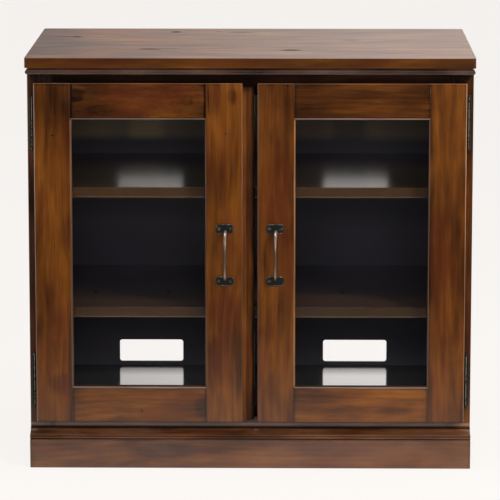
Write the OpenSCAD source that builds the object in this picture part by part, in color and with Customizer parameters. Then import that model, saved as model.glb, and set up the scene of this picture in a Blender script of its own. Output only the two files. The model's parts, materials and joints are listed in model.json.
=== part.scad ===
// A low media cabinet with two glass doors, standing on a plinth.
// Millimetres. X runs to the right, Y from the front to the back, Z up from the floor.
// Depths are measured back from the front face of the top, and place() centres them on Y.

/* [Overall] */
// Width across the side panels
case_w = 813; // [790:1:880]
// Height from the floor to the top surface
overall_h = 762; // [740:1:800]
// Depth of the top, front to back
top_d = 508; // [460:1:560]

/* [Top] */
// Thickness of the top board
top_t = 18; // [14:0.5:24]
// How far the top board passes the side panels
top_overhang = 2.5; // [1:0.5:12]
// How far the top board passes the back of the case
rear_overhang = 8; // [2:1:20]
// Radius of the top board's corners, seen from above
top_corner_r = 5; // [2:0.5:12]
// Width of the frame strips under the top board
frame_strip_w = 60; // [40:1:90]
// Thickness of the frame strips under the top board
frame_strip_t = 12.4; // [10:0.2:18]
// Height of the dark quirk between the top board and the bead
quirk_h = 2.8; // [1.5:0.1:5]
// Depth of that quirk
quirk_depth = 5; // [2:0.5:8]
// Setback of the bead from the face and sides of the top board
bead_setback = 1.2; // [0.5:0.1:4]

/* [Case] */
// Thickness of the side panels
side_t = 19; // [16:0.5:25]
// Depth from the face of the top to the front of the face frame
case_front = 31.2; // [30:0.2:40]
// Thickness of the face frame
face_t = 20; // [16:0.5:25]
// Width of the face frame's stiles
face_stile_w = 45; // [38:1:60]
// Height of the face frame's top rail
face_rail_h = 40; // [34:1:60]
// Thickness of the back panel
back_t = 6; // [4:0.5:9]
// Width of the rebate that holds the back panel
back_rebate = 9; // [6:0.5:12]
// Height of the rear rail under the top
rear_rail_h = 40; // [30:1:60]
// Thickness of the rear rail
rear_rail_t = 19; // [15:0.5:25]
// Thickness of the deck
deck_t = 19; // [16:0.5:25]
// Height of the deck's upper face above the plinth
deck_rise = 38; // [36:0.5:50]
// How far the deck sits into the side panels
dado_depth = 6; // [3:0.5:9]

/* [Shelves] */
// Thickness of the shelves
shelf_t = 19; // [16:0.5:25]
// Play between a shelf and each side panel
shelf_play = 1.5; // [0.5:0.1:3]
// Play between a shelf and the face frame or back panel
shelf_depth_play = 1; // [0.5:0.1:4]
// Height of the lowest row of shelf-pin holes
first_row_z = 240.5; // [220:0.5:260]
// Distance between rows of shelf-pin holes
row_pitch = 32; // [28:1:34]
// Number of rows of shelf-pin holes
row_count = 10; // [10:1:11]
// Row that carries the lower shelf, counted from 0
lower_row = 1; // [0:1:3]
// Row that carries the upper shelf, counted from 0
upper_row = 8; // [6:1:8]
// Distance from the face frame to the front column of holes
hole_inset = 40; // [25:1:70]
// Distance from the back panel to the rear column of holes
rear_hole_inset = 40; // [25:1:70]
// Radius of a shelf pin
pin_r = 2.5; // [2:0.1:3.5]
// Length of a shelf pin inside the side panel
pin_in = 10; // [7:0.5:12]
// Length of a shelf pin under the shelf
pin_out = 11; // [7:0.5:14]

/* [Cable cut-outs] */
// Width of a cable cut-out
cut_w = 126; // [80:1:150]
// Height of a cable cut-out
cut_h = 44; // [30:1:60]
// Corner radius of a cable cut-out
cut_r = 5; // [2:0.5:12]
// Distance of a cut-out's centre from the middle of the cabinet
cut_x = 202; // [150:1:240]
// Height of the lower cut-outs above the deck
cut_above_deck = 7; // [4:1:30]
// Height of the upper cut-outs above the upper shelf
cut_above_shelf = 70; // [40:1:80]

/* [Plinth] */
// Height of the plinth boards
plinth_h = 54; // [50:1:70]
// Thickness of the plinth boards
plinth_t = 18; // [15:0.5:24]
// Depth from the face of the top to the face of the plinth
plinth_front = 5; // [2:0.5:10]
// Height of the moulding on the plinth
moulding_h = 18.5; // [16:0.5:22]
// Height of the moulding's lower part, with its bead and two grooves
moulding_foot_h = 9; // [8:0.2:11]
// Flat on top of the moulding, against the face frame
moulding_flat = 3.5; // [2:0.5:6]
// Leg of the triangular blocks in the plinth's corners
block_leg = 50; // [35:1:70]
// Gap between the corner blocks and the floor
block_lift = 4; // [1:1:10]

/* [Doors] */
// Thickness of a door
door_t = 20; // [18:0.5:24]
// Strip of the case that shows beside each door
side_reveal = 12.9; // [12:0.1:16]
// Gap between the case's top frame and the doors
top_reveal = 16.2; // [8:0.2:22]
// How far the doors lap over the deck's edge
deck_lap = 5.5; // [3:0.5:10]
// Gap between the two doors, which the astragal partly closes
centre_gap = 27.6; // [24:0.2:34]
// Width of the stiles, without the splayed edge at the glass
stile_w = 66; // [60:1:80]
// Height of the rails, without the splayed edge at the glass
rail_w = 64; // [50:1:80]
// Size of the splayed edge round the glass
splay = 3; // [1.5:0.5:5]
// Thickness of the lip in front of the glass
lip_t = 8; // [6:0.5:10]
// Width of the rebate behind the glass
glass_rebate = 9; // [7:0.5:12]
// Thickness of the glass
glass_t = 4; // [3:0.5:6]
// Play round the edge of the glass
glass_play = 1; // [0.5:0.1:2]
// Thickness of the rails' tenons
tenon_t = 6; // [4:0.5:7]
// Length of the rails' tenons
tenon_l = 28; // [15:1:40]
// Width of the astragal strip between the doors
astragal_w = 21.8; // [16:0.2:23]
// Thickness of the astragal
astragal_t = 16; // [10:0.5:17]
// How far the astragal's face lies behind the face of the door
astragal_setback = 2; // [1:0.5:3]
// How much shorter the astragal is than the door, at the top
astragal_short_top = 7; // [2:0.5:15]
// How much shorter the astragal is than the door, at the bottom
astragal_short_bottom = 4; // [2:0.5:15]

/* [Hinges] */
// Length of a hinge's barrel
hinge_l = 93; // [70:1:100]
// Radius of a hinge's barrel
barrel_r = 4; // [3.5:0.1:4.1]
// Radius of a hinge pin
hinge_pin_r = 2; // [1.5:0.1:2.4]
// Thickness of a hinge leaf
leaf_t = 1.4; // [1:0.1:1.8]
// Gap between the two closed leaves
leaf_gap = 0.4; // [0.2:0.1:0.8]
// Width of a hinge leaf
leaf_w = 22; // [16:1:26]
// Gap between a door's outer edge and its hinge axis
axis_out = 4.4; // [4.2:0.1:5]
// Gap between the face frame and the hinge axis
axis_front = 4.3; // [4.2:0.1:5]
// Distance from the top of a door to its upper hinge
hinge_from_top = 27.4; // [20:0.2:80]
// Distance from the bottom of a door to its lower hinge
hinge_from_bottom = 28.5; // [20:0.2:80]
// Radius of the balls on the ends of a hinge pin
finial_r = 3; // [2.5:0.1:3.8]

/* [Handles] */
// Distance of a handle from the inner edge of its door
handle_in = 32.2; // [22:0.2:45]
// Height of a handle's middle above the floor
handle_z = 400; // [340:1:460]
// Distance between the centres of a handle's two plates
plate_pitch = 97; // [85:1:128]
// Width of a handle plate
plate_w = 31; // [26:1:36]
// Height of a handle plate
plate_h = 17; // [14:0.5:22]
// Thickness of a handle plate
plate_t = 3; // [2:0.5:4]
// Corner cut of a handle plate
plate_cut = 2.5; // [1:0.5:4]
// Reach of the handle in front of the door
handle_reach = 29; // [24:1:36]
// Radius of the handle's bar at its middle
bar_mid_r = 2.4; // [2:0.1:3.5]
// Radius of the handle's bar where it meets its plates
bar_foot_r = 4.2; // [3.2:0.1:5.5]
// Distance of the handle screws from the middle of their plate
plate_screw_x = 10.6; // [9:0.1:12]

/* [Catches and bumpers] */
// Width of a magnetic catch
catch_w = 46; // [36:1:56]
// Height of a magnetic catch
catch_h = 13.6; // [10:0.2:18]
// Depth of a magnetic catch
catch_d = 18; // [14:0.5:20]
// Distance of a catch from the middle of the cabinet
catch_x = 62; // [50:1:90]
// Distance from a bumper to the inner edge of its door
bumper_in = 14; // [8:0.5:30]
// Radius of a bumper
bumper_r = 4; // [3:0.5:6]

/* [Fasteners] */
// Shank radius of the wood screws
screw_r = 1.5; // [1.2:0.1:1.8]
// Head radius of the wood screws
screw_head_r = 3; // [2.5:0.1:3.6]
// Length of the wood screws
screw_l = 14; // [10:0.5:16]
// Clearance round screws, tenons and other fixed parts
fixed_gap = 0.1; // [0.05:0.05:0.2]
// Clearance between a hinge pin and the knuckle that turns on it
running_gap = 0.05; // [0.02:0.01:0.09]

/* [Hidden] */
LEFT = -1;
RIGHT = 1;
$fn = 48;
// A cutter passes its surface by this much
over = 0.5;

// Stack of heights, from the floor up
deck_z = plinth_h + deck_rise;
case_top = overall_h - top_t - frame_strip_t;
door_bottom = deck_z - deck_lap;
door_top = case_top - top_reveal;
lower_shelf_z = first_row_z + lower_row * row_pitch + pin_r;
upper_shelf_z = first_row_z + upper_row * row_pitch + pin_r;

// Depths, from the face of the top to the back
case_back = top_d - rear_overhang;
back_front = case_back - back_t;
panel_front = case_front + face_t;
hinge_gap = 2 * leaf_t + leaf_gap;
door_back = case_front - hinge_gap;
door_face = door_back - door_t;
glass_front = door_face + lip_t;
bead_front = glass_front + glass_t;
axis_d = case_front - axis_front;
front_reach = door_face - handle_reach;
mid_depth = (top_d + front_reach) / 2;

// Widths, from the middle outwards
side_out = case_w / 2;
side_in = side_out - side_t;
door_out = side_out - side_reveal;
door_in = centre_gap / 2;
axis_x = door_out + axis_out;
handle_x = door_in + handle_in;
sight_out = door_out - stile_w;
sight_in = door_in + stile_w;
sight_bottom = door_bottom + rail_w;
sight_top = door_top - rail_w;

hole_front_d = panel_front + hole_inset;
hole_rear_d = back_front - rear_hole_inset;
hinge_zs = [door_bottom + hinge_from_bottom, door_top - hinge_from_top - hinge_l];
leaf_screw_zs = [hinge_l / 8, hinge_l / 2, hinge_l * 7 / 8];
leaf_screw_in = leaf_w * 0.6;
knuckle_gap = 0.3;
strike_t = leaf_t;
catch_z = case_top - face_rail_h - catch_h;
bumper_z = (door_top + case_top - face_rail_h) / 2;
back_screw_zs = [0.12, 0.38, 0.64, 0.9];
lift_seam = 0.02;

// Materials, seen plainly
WOOD = [0.33, 0.18, 0.10];
DARK_WOOD = [0.18, 0.11, 0.08];
METAL = [0.30, 0.29, 0.28];
GLASS = [0.75, 0.85, 0.88, 0.35];
FELT = [0.12, 0.11, 0.10];

// Helpers

module place() {
    translate([0, -mid_depth, 0]) children();
}

module on_side(side) {
    if (side == LEFT) {
        mirror([1, 0, 0]) children();
    } else {
        children();
    }
}

// A box given by its low and high corners: X, depth, Z
module slab(low, high) {
    translate(low) cube(high - low);
}

// Points of a quarter round, from the angle a0 to the angle a1
function arc(cx, cy, r, a0, a1, n = 6) =
    [for (i = [0 : n]) let (a = a0 + (a1 - a0) * i / n) [cx + r * cos(a), cy + r * sin(a)]];

function rounded(x0, y0, x1, y1, r) = concat(
    arc(x1 - r, y1 - r, r, 0, 90), arc(x0 + r, y1 - r, r, 90, 180),
    arc(x0 + r, y0 + r, r, 180, 270), arc(x1 - r, y0 + r, r, 270, 360));

// A section given as [depth, Z] points, run along X
module along_x(x0, x1, points) {
    translate([x0, 0, 0]) rotate([90, 0, 90]) linear_extrude(x1 - x0) polygon(points);
}

// A countersunk wood screw that points along +Y, with its head's face at the origin
module screw(extra = 0, proud = 0) {
    rotate([-90, 0, 0]) {
        translate([0, 0, -proud]) cylinder(r = screw_head_r + extra, h = proud + extra);
        translate([0, 0, extra]) {
            cylinder(r1 = screw_head_r + extra, r2 = screw_r + extra, h = leaf_t);
        }
        cylinder(r = screw_r + extra, h = screw_l + extra);
    }
}

// Top

module top_panel() {
    out = side_out + top_overhang;
    color(WOOD) place() translate([0, 0, overall_h - top_t]) linear_extrude(top_t) {
        polygon(rounded(-out, 0, out, top_d, top_corner_r));
    }
}

// Section of the frame strips: a quirk over a round bead, as [inward, Z] from the bead's nose
function strip_section() = let (r = (frame_strip_t - quirk_h) / 2, z = case_top) concat(
    [[frame_strip_w, z], [frame_strip_w, z + frame_strip_t], [quirk_depth, z + frame_strip_t],
     [quirk_depth, z + 2 * r], [r, z + 2 * r]],
    arc(r, z + r, r, 90, 270, 12));

module top_moulding_front() {
    out = side_out + top_overhang - bead_setback;
    color(WOOD) place() intersection() {
        translate([0, bead_setback, 0]) along_x(-out, out, strip_section());
        linear_extrude(overall_h) polygon([
            [-out, bead_setback], [out, bead_setback],
            [out - frame_strip_w, bead_setback + frame_strip_w],
            [frame_strip_w - out, bead_setback + frame_strip_w]]);
    }
}

module top_moulding_side(side) {
    out = side_out + top_overhang - bead_setback;
    color(WOOD) place() on_side(side) intersection() {
        translate([out, case_back, 0]) rotate([90, 0, 0]) linear_extrude(case_back) {
            mirror([1, 0]) polygon(strip_section());
        }
        linear_extrude(overall_h) polygon([
            [out, bead_setback], [out, case_back], [out - frame_strip_w, case_back],
            [out - frame_strip_w, bead_setback + frame_strip_w]]);
    }
}

module top_frame_rear() {
    x = side_out + top_overhang - bead_setback - frame_strip_w;
    color(DARK_WOOD) place() slab([-x, case_back - frame_strip_w, case_top],
                                  [x, case_back, case_top + frame_strip_t]);
}

// Case

module side_panel(side) {
    color(WOOD) place() on_side(side) difference() {
        slab([side_in, panel_front, plinth_h], [side_out, case_back, case_top]);
        slab([side_in - over, back_front, plinth_h - over],
             [side_in + back_rebate, case_back + over, case_top + over]);
        slab([side_in - over, panel_front - over, deck_z - deck_t],
             [side_in + dado_depth, back_front + over, deck_z]);
        for (d = [hole_front_d, hole_rear_d], row = [0 : row_count - 1]) {
            translate([side_in - over, d, first_row_z + row * row_pitch]) rotate([0, 90, 0]) {
                cylinder(r = pin_r + fixed_gap, h = pin_in + 2 * over);
            }
        }
        back_screw_holes(side_in + back_rebate / 2);
    }
}

module back_screw_holes(x) {
    for (share = back_screw_zs) {
        translate([x, case_back, plinth_h + share * (case_top - plinth_h)]) rotate([0, 0, 180]) {
            screw(fixed_gap, over);
        }
    }
}

module face_stile(side) {
    color(WOOD) place() on_side(side) difference() {
        slab([side_out - face_stile_w, case_front, plinth_h], [side_out, panel_front, case_top]);
        face_tenons(fixed_gap);
        for (z = hinge_zs, screw_z = leaf_screw_zs) {
            translate([axis_x - leaf_screw_in, case_front - leaf_t, z + screw_z]) {
                screw(fixed_gap, over);
            }
        }
    }
}

// Tenons of the face frame's two rails, at the right-hand end
module face_tenons(extra = 0) {
    x = side_out - face_stile_w;
    mid = (case_front + panel_front) / 2;
    for (z = [[case_top - face_rail_h, case_top], [plinth_h, deck_z]]) {
        slab([x - over, mid - tenon_t / 2 - extra, z[0] + 6 - extra],
             [x + face_stile_w / 2 + extra, mid + tenon_t / 2 + extra, z[1] - 6 + extra]);
    }
}

module face_rail(z0, z1) {
    x = side_out - face_stile_w;
    slab([-x, case_front, z0], [x, panel_front, z1]);
    intersection() {
        for (side = [LEFT, RIGHT]) on_side(side) face_tenons();
        slab([-case_w, 0, z0], [case_w, top_d, z1]);
    }
}

module face_rail_top() {
    color(WOOD) place() face_rail(case_top - face_rail_h, case_top);
}

module face_rail_bottom() {
    color(WOOD) place() face_rail(plinth_h, deck_z);
}

module rear_rail() {
    color(DARK_WOOD) place() slab([-side_in, back_front - rear_rail_t, case_top - rear_rail_h],
                                  [side_in, back_front, case_top]);
}

module deck_panel() {
    x = side_in + dado_depth;
    color(DARK_WOOD) place() difference() {
        slab([-x, panel_front, deck_z - deck_t], [x, back_front, deck_z]);
        for (side = [LEFT, RIGHT]) on_side(side) translate([side_in / 2, 0, 0]) deck_screw(over);
    }
}

module deck_screw(proud = 0) {
    translate([0, case_back, deck_z - deck_t / 2]) rotate([0, 0, 180]) {
        screw(proud > 0 ? fixed_gap : 0, proud);
    }
}

module back_panel() {
    x = side_in + back_rebate - fixed_gap;
    cut_zs = [deck_z + cut_above_deck, upper_shelf_z + shelf_t + cut_above_shelf];
    color(DARK_WOOD) place() difference() {
        slab([-x, back_front, plinth_h], [x, case_back, case_top]);
        for (side = [LEFT, RIGHT], z = cut_zs) {
            on_side(side) translate([0, case_back + over, 0]) rotate([90, 0, 0]) {
                linear_extrude(back_t + 2 * over) {
                    polygon(rounded(cut_x - cut_w / 2, z, cut_x + cut_w / 2, z + cut_h, cut_r));
                }
            }
        }
        for (side = [LEFT, RIGHT]) on_side(side) {
            back_screw_holes(side_in + back_rebate / 2);
            translate([side_in / 2, 0, 0]) deck_screw(over);
        }
    }
}

module back_screws() {
    color(METAL) place() for (side = [LEFT, RIGHT]) on_side(side) {
        for (share = back_screw_zs) {
            z = plinth_h + share * (case_top - plinth_h);
            translate([side_in + back_rebate / 2, case_back, z]) rotate([0, 0, 180]) screw();
        }
        translate([side_in / 2, 0, 0]) deck_screw();
    }
}

// Shelves

module shelf(z) {
    x = side_in - shelf_play;
    color(DARK_WOOD) place() slab([-x, panel_front + shelf_depth_play, z],
                                  [x, back_front - shelf_depth_play, z + shelf_t]);
}

module shelf_upper() {
    shelf(upper_shelf_z);
}

module shelf_lower() {
    shelf(lower_shelf_z);
}

module shelf_pins() {
    color(METAL) place() for (side = [LEFT, RIGHT], d = [hole_front_d, hole_rear_d]) {
        for (row = [lower_row, upper_row]) on_side(side) {
            translate([side_in - pin_out, d, first_row_z + row * row_pitch]) rotate([0, 90, 0]) {
                cylinder(r = pin_r, h = pin_out + pin_in);
            }
        }
    }
}

// Plinth

// Section of the base moulding: a cove that spreads forward, over a bead between two grooves
function base_section() = let (
    foot = plinth_h + moulding_foot_h,
    top = plinth_h + moulding_h,
    cove_back = case_front - moulding_flat,
    cove_front = plinth_front + 3,
    nose = plinth_front + 1,
    bead_r = 1.7,
    groove = 3.5,
    bead_z = plinth_h + 1.4 + bead_r) concat(
    [[case_front, plinth_h], [case_front, top]],
    [for (i = [0 : 10]) let (a = 9 * i) [
        cove_front + (cove_back - cove_front) * cos(a),
        top - (top - foot) * sin(a)]],
    [[nose + 0.6, foot], [nose + 0.6, foot - 1.6], [nose + groove, foot - 1.6],
     [nose + groove, bead_z + bead_r]],
    arc(nose + bead_r, bead_z, bead_r, 90, 270, 8),
    [[nose + groove, bead_z - bead_r], [nose + groove, plinth_h]]);

module base_moulding() {
    color(WOOD) place() along_x(-side_out, side_out, base_section());
}

module plinth_front_board() {
    color(WOOD) place() slab([-side_out, plinth_front, 0],
                             [side_out, plinth_front + plinth_t, plinth_h]);
}

module plinth_side_board(side) {
    color(WOOD) place() on_side(side) slab([side_out - plinth_t, plinth_front + plinth_t, 0],
                                           [side_out, case_back, plinth_h]);
}

module plinth_rear_board() {
    x = side_out - plinth_t;
    color(DARK_WOOD) place() slab([-x, case_back - plinth_t, 0], [x, case_back, plinth_h]);
}

module plinth_corner_blocks() {
    x = side_out - plinth_t;
    front = plinth_front + plinth_t;
    rear = case_back - plinth_t;
    color(DARK_WOOD) place() for (side = [LEFT, RIGHT]) on_side(side) {
        translate([0, 0, block_lift]) linear_extrude(plinth_h - block_lift) {
            polygon([[x, front], [x - block_leg, front], [x, front + block_leg]]);
            polygon([[x, rear], [x - block_leg, rear], [x, rear - block_leg]]);
        }
    }
}

// Catches, on the underside of the face frame's top rail

module catch_box(inset, front, back) {
    slab([catch_x - catch_w / 2 + inset, front, catch_z + (inset > 0 ? 3 : 0)],
         [catch_x + catch_w / 2 - inset, back, catch_z + catch_h - (inset > 0 ? 3 : 0)]);
}

module catch_bodies() {
    color(FELT) place() for (side = [LEFT, RIGHT]) on_side(side) difference() {
        catch_box(0, case_front, case_front + catch_d);
        catch_box(8, case_front - over, case_front + catch_d / 2);
    }
}

module catch_magnets() {
    front = door_back + strike_t + leaf_gap;
    color(METAL) place() for (side = [LEFT, RIGHT]) on_side(side) {
        catch_box(8 + fixed_gap, front, case_front + catch_d / 2);
    }
}

// Hinges

// Knuckles of one hinge as [low, high] pairs of heights: the case holds the outer two
CASE_KNUCKLES = [[0, hinge_l / 4], [hinge_l * 3 / 4, hinge_l]];
DOOR_KNUCKLES = [[hinge_l / 4 + knuckle_gap, hinge_l * 3 / 4 - knuckle_gap]];

// A leaf with its knuckles, for a hinge on the right, from the depth front to front + leaf_t
module hinge_leaf(front, own, other, bore_r) {
    clear = barrel_r + 0.6;
    difference() {
        union() {
            slab([axis_x - leaf_w, front, 0], [axis_x - clear, front + leaf_t, hinge_l]);
            for (span = own) {
                slab([axis_x - clear - over, front, span[0]], [axis_x, front + leaf_t, span[1]]);
                translate([axis_x, axis_d, span[0]]) cylinder(r = barrel_r, h = span[1] - span[0]);
            }
        }
        translate([axis_x, axis_d, -over]) cylinder(r = bore_r, h = hinge_l + 2 * over);
        for (z = leaf_screw_zs) translate([axis_x - leaf_screw_in, front, z]) {
            if (front < door_back + over) {
                translate([0, leaf_t, 0]) rotate([0, 0, 180]) screw(fixed_gap, over);
            } else {
                screw(fixed_gap, over);
            }
        }
    }
}

module hinge_leaves_case(side) {
    color(METAL) place() on_side(side) for (z = hinge_zs) translate([0, 0, z]) {
        hinge_leaf(case_front - leaf_t, CASE_KNUCKLES, DOOR_KNUCKLES, hinge_pin_r + lift_seam);
    }
}

module door_hinge_leaves(side) {
    color(METAL) place() on_side(side) for (z = hinge_zs) translate([0, 0, z]) {
        hinge_leaf(door_back, DOOR_KNUCKLES, CASE_KNUCKLES, hinge_pin_r + running_gap);
    }
}

module hinge_pins(side) {
    color(METAL) place() on_side(side) for (z = hinge_zs) translate([axis_x, axis_d, z]) {
        cylinder(r = hinge_pin_r, h = hinge_l);
        for (end = [-finial_r * 0.7, hinge_l + finial_r * 0.7]) {
            translate([0, 0, end]) sphere(r = finial_r);
        }
    }
}

module hinge_screws_case() {
    color(METAL) place() for (side = [LEFT, RIGHT], z = hinge_zs, screw_z = leaf_screw_zs) {
        on_side(side) translate([axis_x - leaf_screw_in, case_front - leaf_t, z + screw_z]) {
            screw();
        }
    }
}

// Doors. Every door part is drawn for the right-hand door and mirrored for the left one.

// Section of a stile or rail as [inward, depth] points, from its outer edge to the glass
function sticking(width) = [
    [0, door_face], [width, door_face], [width + splay, door_face + splay],
    [width + splay, glass_front], [width + splay - glass_rebate, glass_front],
    [width + splay - glass_rebate, door_back], [0, door_back]];

module stile_blank(hinge) {
    edge = hinge ? door_out : door_in;
    flip = hinge ? 1 : 0;
    translate([edge, 0, door_bottom]) linear_extrude(door_top - door_bottom) {
        mirror([flip, 0]) polygon(sticking(stile_w));
    }
}

// Tenons of one rail, reaching into both stiles
module door_tenons(z0, z1, extra = 0) {
    d = door_face + lip_t - splay + (splay - tenon_t) / 2 + 2;
    slab([sight_in - tenon_l - extra, d - extra, z0 + 8 - extra],
         [sight_out + tenon_l + extra, d + tenon_t + extra, z1 - 14 + extra]);
}

module all_door_tenons(extra) {
    door_tenons(door_bottom, sight_bottom + 6, extra);
    translate([0, 0, sight_top + door_top]) mirror([0, 0, 1]) {
        door_tenons(sight_top, door_top + 6, extra);
    }
}

module door_hinge_stile(side) {
    color(WOOD) place() on_side(side) difference() {
        stile_blank(true);
        all_door_tenons(fixed_gap);
        door_leaf_screws(fixed_gap, over);
    }
}

module door_meeting_stile(side) {
    color(WOOD) place() on_side(side) difference() {
        stile_blank(false);
        all_door_tenons(fixed_gap);
        handle_screw_set(fixed_gap, over);
        strike_screw(fixed_gap, over);
    }
}

// Rail from stile to stile, coped over the stiles' splayed edges. Outline as the top rail's.
module rail_blank() {
    translate([sight_in - splay, 0, 0]) rotate([0, 90, 0]) {
        linear_extrude(sight_out - sight_in + 2 * splay) polygon(sticking(rail_w));
    }
}

module door_rail(side, upper) {
    color(WOOD) place() on_side(side) {
        difference() {
            if (upper) {
                translate([0, 0, door_top]) rail_blank();
            } else {
                translate([0, 0, door_bottom]) mirror([0, 0, 1]) rail_blank();
            }
            stile_blank(true);
            stile_blank(false);
        }
        difference() {
            intersection() {
                all_door_tenons(0);
                slab([0, 0, upper ? sight_top : 0],
                     [case_w, top_d, upper ? overall_h : sight_bottom]);
            }
            slab([sight_in + splay + over, 0, 0], [sight_out - splay - over, top_d, overall_h]);
            strike_screw(fixed_gap, over);
        }
    }
}

module door_glass(side) {
    grow = glass_rebate - splay - glass_play;
    color(GLASS) place() on_side(side) slab(
        [sight_in - grow, glass_front, sight_bottom - grow],
        [sight_out + grow, bead_front, sight_top + grow]);
}

// Four strips that hold the glass in its rebate
module door_glass_beads(side) {
    grow = glass_rebate - splay;
    x0 = sight_in - grow;
    x1 = sight_out + grow;
    z0 = sight_bottom - grow;
    z1 = sight_top + grow;
    w = glass_rebate - 1;
    color(WOOD) place() on_side(side) {
        slab([x0, bead_front, z0], [x0 + w, door_back, z1]);
        slab([x1 - w, bead_front, z0], [x1, door_back, z1]);
        slab([x0 + w + fixed_gap, bead_front, z0], [x1 - w - fixed_gap, door_back, z0 + w]);
        slab([x0 + w + fixed_gap, bead_front, z1 - w], [x1 - w - fixed_gap, door_back, z1]);
    }
}

// Rounded strip on the left door's inner edge, which part-covers the gap between the doors
module door_left_astragal() {
    front = door_face + astragal_setback;
    back = front + astragal_t;
    end = astragal_w - door_in;
    r = astragal_t * 0.75;
    color(WOOD) place() translate([0, 0, door_bottom + astragal_short_bottom]) {
        linear_extrude(door_top - door_bottom - astragal_short_bottom - astragal_short_top) {
            polygon(concat([[-door_in, front]], arc(end - r, front + r, r, -90, 0, 10),
                           [[end, back], [-door_in, back]]));
        }
    }
}

module door_leaf_screws(extra = 0, proud = 0) {
    for (z = hinge_zs, screw_z = leaf_screw_zs) {
        translate([axis_x - leaf_screw_in, door_back + leaf_t, z + screw_z]) {
            rotate([0, 0, 180]) screw(extra, proud);
        }
    }
}

module strike_screw(extra = 0, proud = 0) {
    translate([catch_x, door_back + strike_t, catch_z + catch_h / 2]) rotate([0, 0, 180]) {
        screw(extra, proud);
    }
}

module door_screws(side) {
    color(METAL) place() on_side(side) {
        door_leaf_screws();
        strike_screw();
    }
}

module door_strike_plate(side) {
    color(METAL) place() on_side(side) difference() {
        slab([catch_x - catch_w / 2 + 6, door_back, catch_z + 1],
             [catch_x + catch_w / 2 - 6, door_back + strike_t, catch_z + catch_h - 1]);
        strike_screw(fixed_gap, over);
    }
}

module door_bumpers(side) {
    far = (door_in + door_out) / 2;
    color(FELT) place() on_side(side) for (x = [door_in + bumper_in, far]) {
        translate([x, door_back, bumper_z]) rotate([-90, 0, 0]) {
            cylinder(r = bumper_r, h = hinge_gap - leaf_gap / 2);
        }
    }
}

// Handles

module handle_plates(side) {
    w = plate_w / 2;
    h = plate_h / 2;
    c = plate_cut;
    color(METAL) place() on_side(side) difference() {
        for (end = [-1, 1]) translate([handle_x, door_face, handle_z + end * plate_pitch / 2]) {
            rotate([90, 0, 0]) linear_extrude(plate_t) polygon([
                [-w, c - h], [c - w, -h], [w - c, -h], [w, c - h],
                [w, h - c], [w - c, h], [c - w, h], [-w, h - c]]);
        }
        handle_screw_set(fixed_gap, over);
    }
}

// Four screws of a handle, drawn from the face of its plates
module handle_screw_set(extra = 0, proud = 0) {
    for (end = [-1, 1], x = [-1, 1]) {
        translate([handle_x + x * plate_screw_x, door_face - plate_t,
                   handle_z + end * plate_pitch / 2]) {
            screw(extra, proud);
        }
    }
}

module handle_screws(side) {
    color(METAL) place() on_side(side) handle_screw_set();
}

// The bar follows a boxy arch from the inner part of one plate to that of the other.
// Its ring number i of n runs from the lower foot to the upper one.
BAR_RINGS = 28;
BAR_SIDES = 12;
bar_half = plate_pitch / 2 - bar_foot_r - 1.5;
function signed_pow(v, p) = sign(v) * pow(abs(v), p);
function bar_point(i) = let (a = -90 + 180 * i / BAR_RINGS) [
    signed_pow(sin(a), 0.55) * bar_half, (handle_reach - plate_t - bar_mid_r) * pow(cos(a), 0.5)];
function bar_radius(i) = let (t = abs(2 * i / BAR_RINGS - 1)) (
    bar_mid_r + (bar_foot_r - bar_mid_r) * pow(t, 3));
function bar_tangent(i) = i == 0 ? [0, 1] : i == BAR_RINGS ? [0, -1] :
    let (v = bar_point(i + 1) - bar_point(i - 1)) v / norm(v);

module handle_bar(side) {
    points = [for (i = [0 : BAR_RINGS]) let (p = bar_point(i), t = bar_tangent(i), r = bar_radius(i))
        for (s = [0 : BAR_SIDES - 1]) let (a = 360 * s / BAR_SIDES) [
            r * cos(a), -(p[1] - t[0] * r * sin(a)), p[0] + t[1] * r * sin(a)]];
    walls = [for (i = [0 : BAR_RINGS - 1], s = [0 : BAR_SIDES - 1])
        let (a = i * BAR_SIDES + s, b = i * BAR_SIDES + (s + 1) % BAR_SIDES)
        for (face = [[a, a + BAR_SIDES, b], [b, a + BAR_SIDES, b + BAR_SIDES]]) face];
    ends = [[for (s = [0 : BAR_SIDES - 1]) s],
            [for (s = [BAR_SIDES - 1 : -1 : 0]) BAR_RINGS * BAR_SIDES + s]];
    color(METAL) place() on_side(side) translate([handle_x, door_face - plate_t, handle_z]) {
        polyhedron(points, concat(walls, ends));
    }
}

top_panel();
top_moulding_front();
top_moulding_side(LEFT);  // top_moulding_left
top_moulding_side(RIGHT);  // top_moulding_right
top_frame_rear();
side_panel(LEFT);  // side_panel_left
side_panel(RIGHT);  // side_panel_right
face_stile(LEFT);  // face_stile_left
face_stile(RIGHT);  // face_stile_right
face_rail_top();
face_rail_bottom();
rear_rail();
deck_panel();
back_panel();
back_screws();
shelf_upper();
shelf_lower();
shelf_pins();
base_moulding();
plinth_front_board();
plinth_side_board(LEFT);  // plinth_left_board
plinth_side_board(RIGHT);  // plinth_right_board
plinth_rear_board();
plinth_corner_blocks();
catch_bodies();
catch_magnets();
hinge_leaves_case(LEFT);  // hinge_leaves_case_left
hinge_leaves_case(RIGHT);  // hinge_leaves_case_right
hinge_pins(LEFT);  // hinge_pins_left
hinge_pins(RIGHT);  // hinge_pins_right
hinge_screws_case();
door_hinge_stile(LEFT);  // door_left_hinge_stile
door_meeting_stile(LEFT);  // door_left_meeting_stile
door_rail(LEFT, true);  // door_left_top_rail
door_rail(LEFT, false);  // door_left_bottom_rail
door_glass(LEFT);  // door_left_glass
door_glass_beads(LEFT);  // door_left_glass_beads
door_left_astragal();
door_hinge_leaves(LEFT);  // door_left_hinge_leaves
door_screws(LEFT);  // door_left_screws
door_strike_plate(LEFT);  // door_left_strike_plate
door_bumpers(LEFT);  // door_left_bumpers
handle_plates(LEFT);  // handle_left_plates
handle_bar(LEFT);  // handle_left_bar
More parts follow.
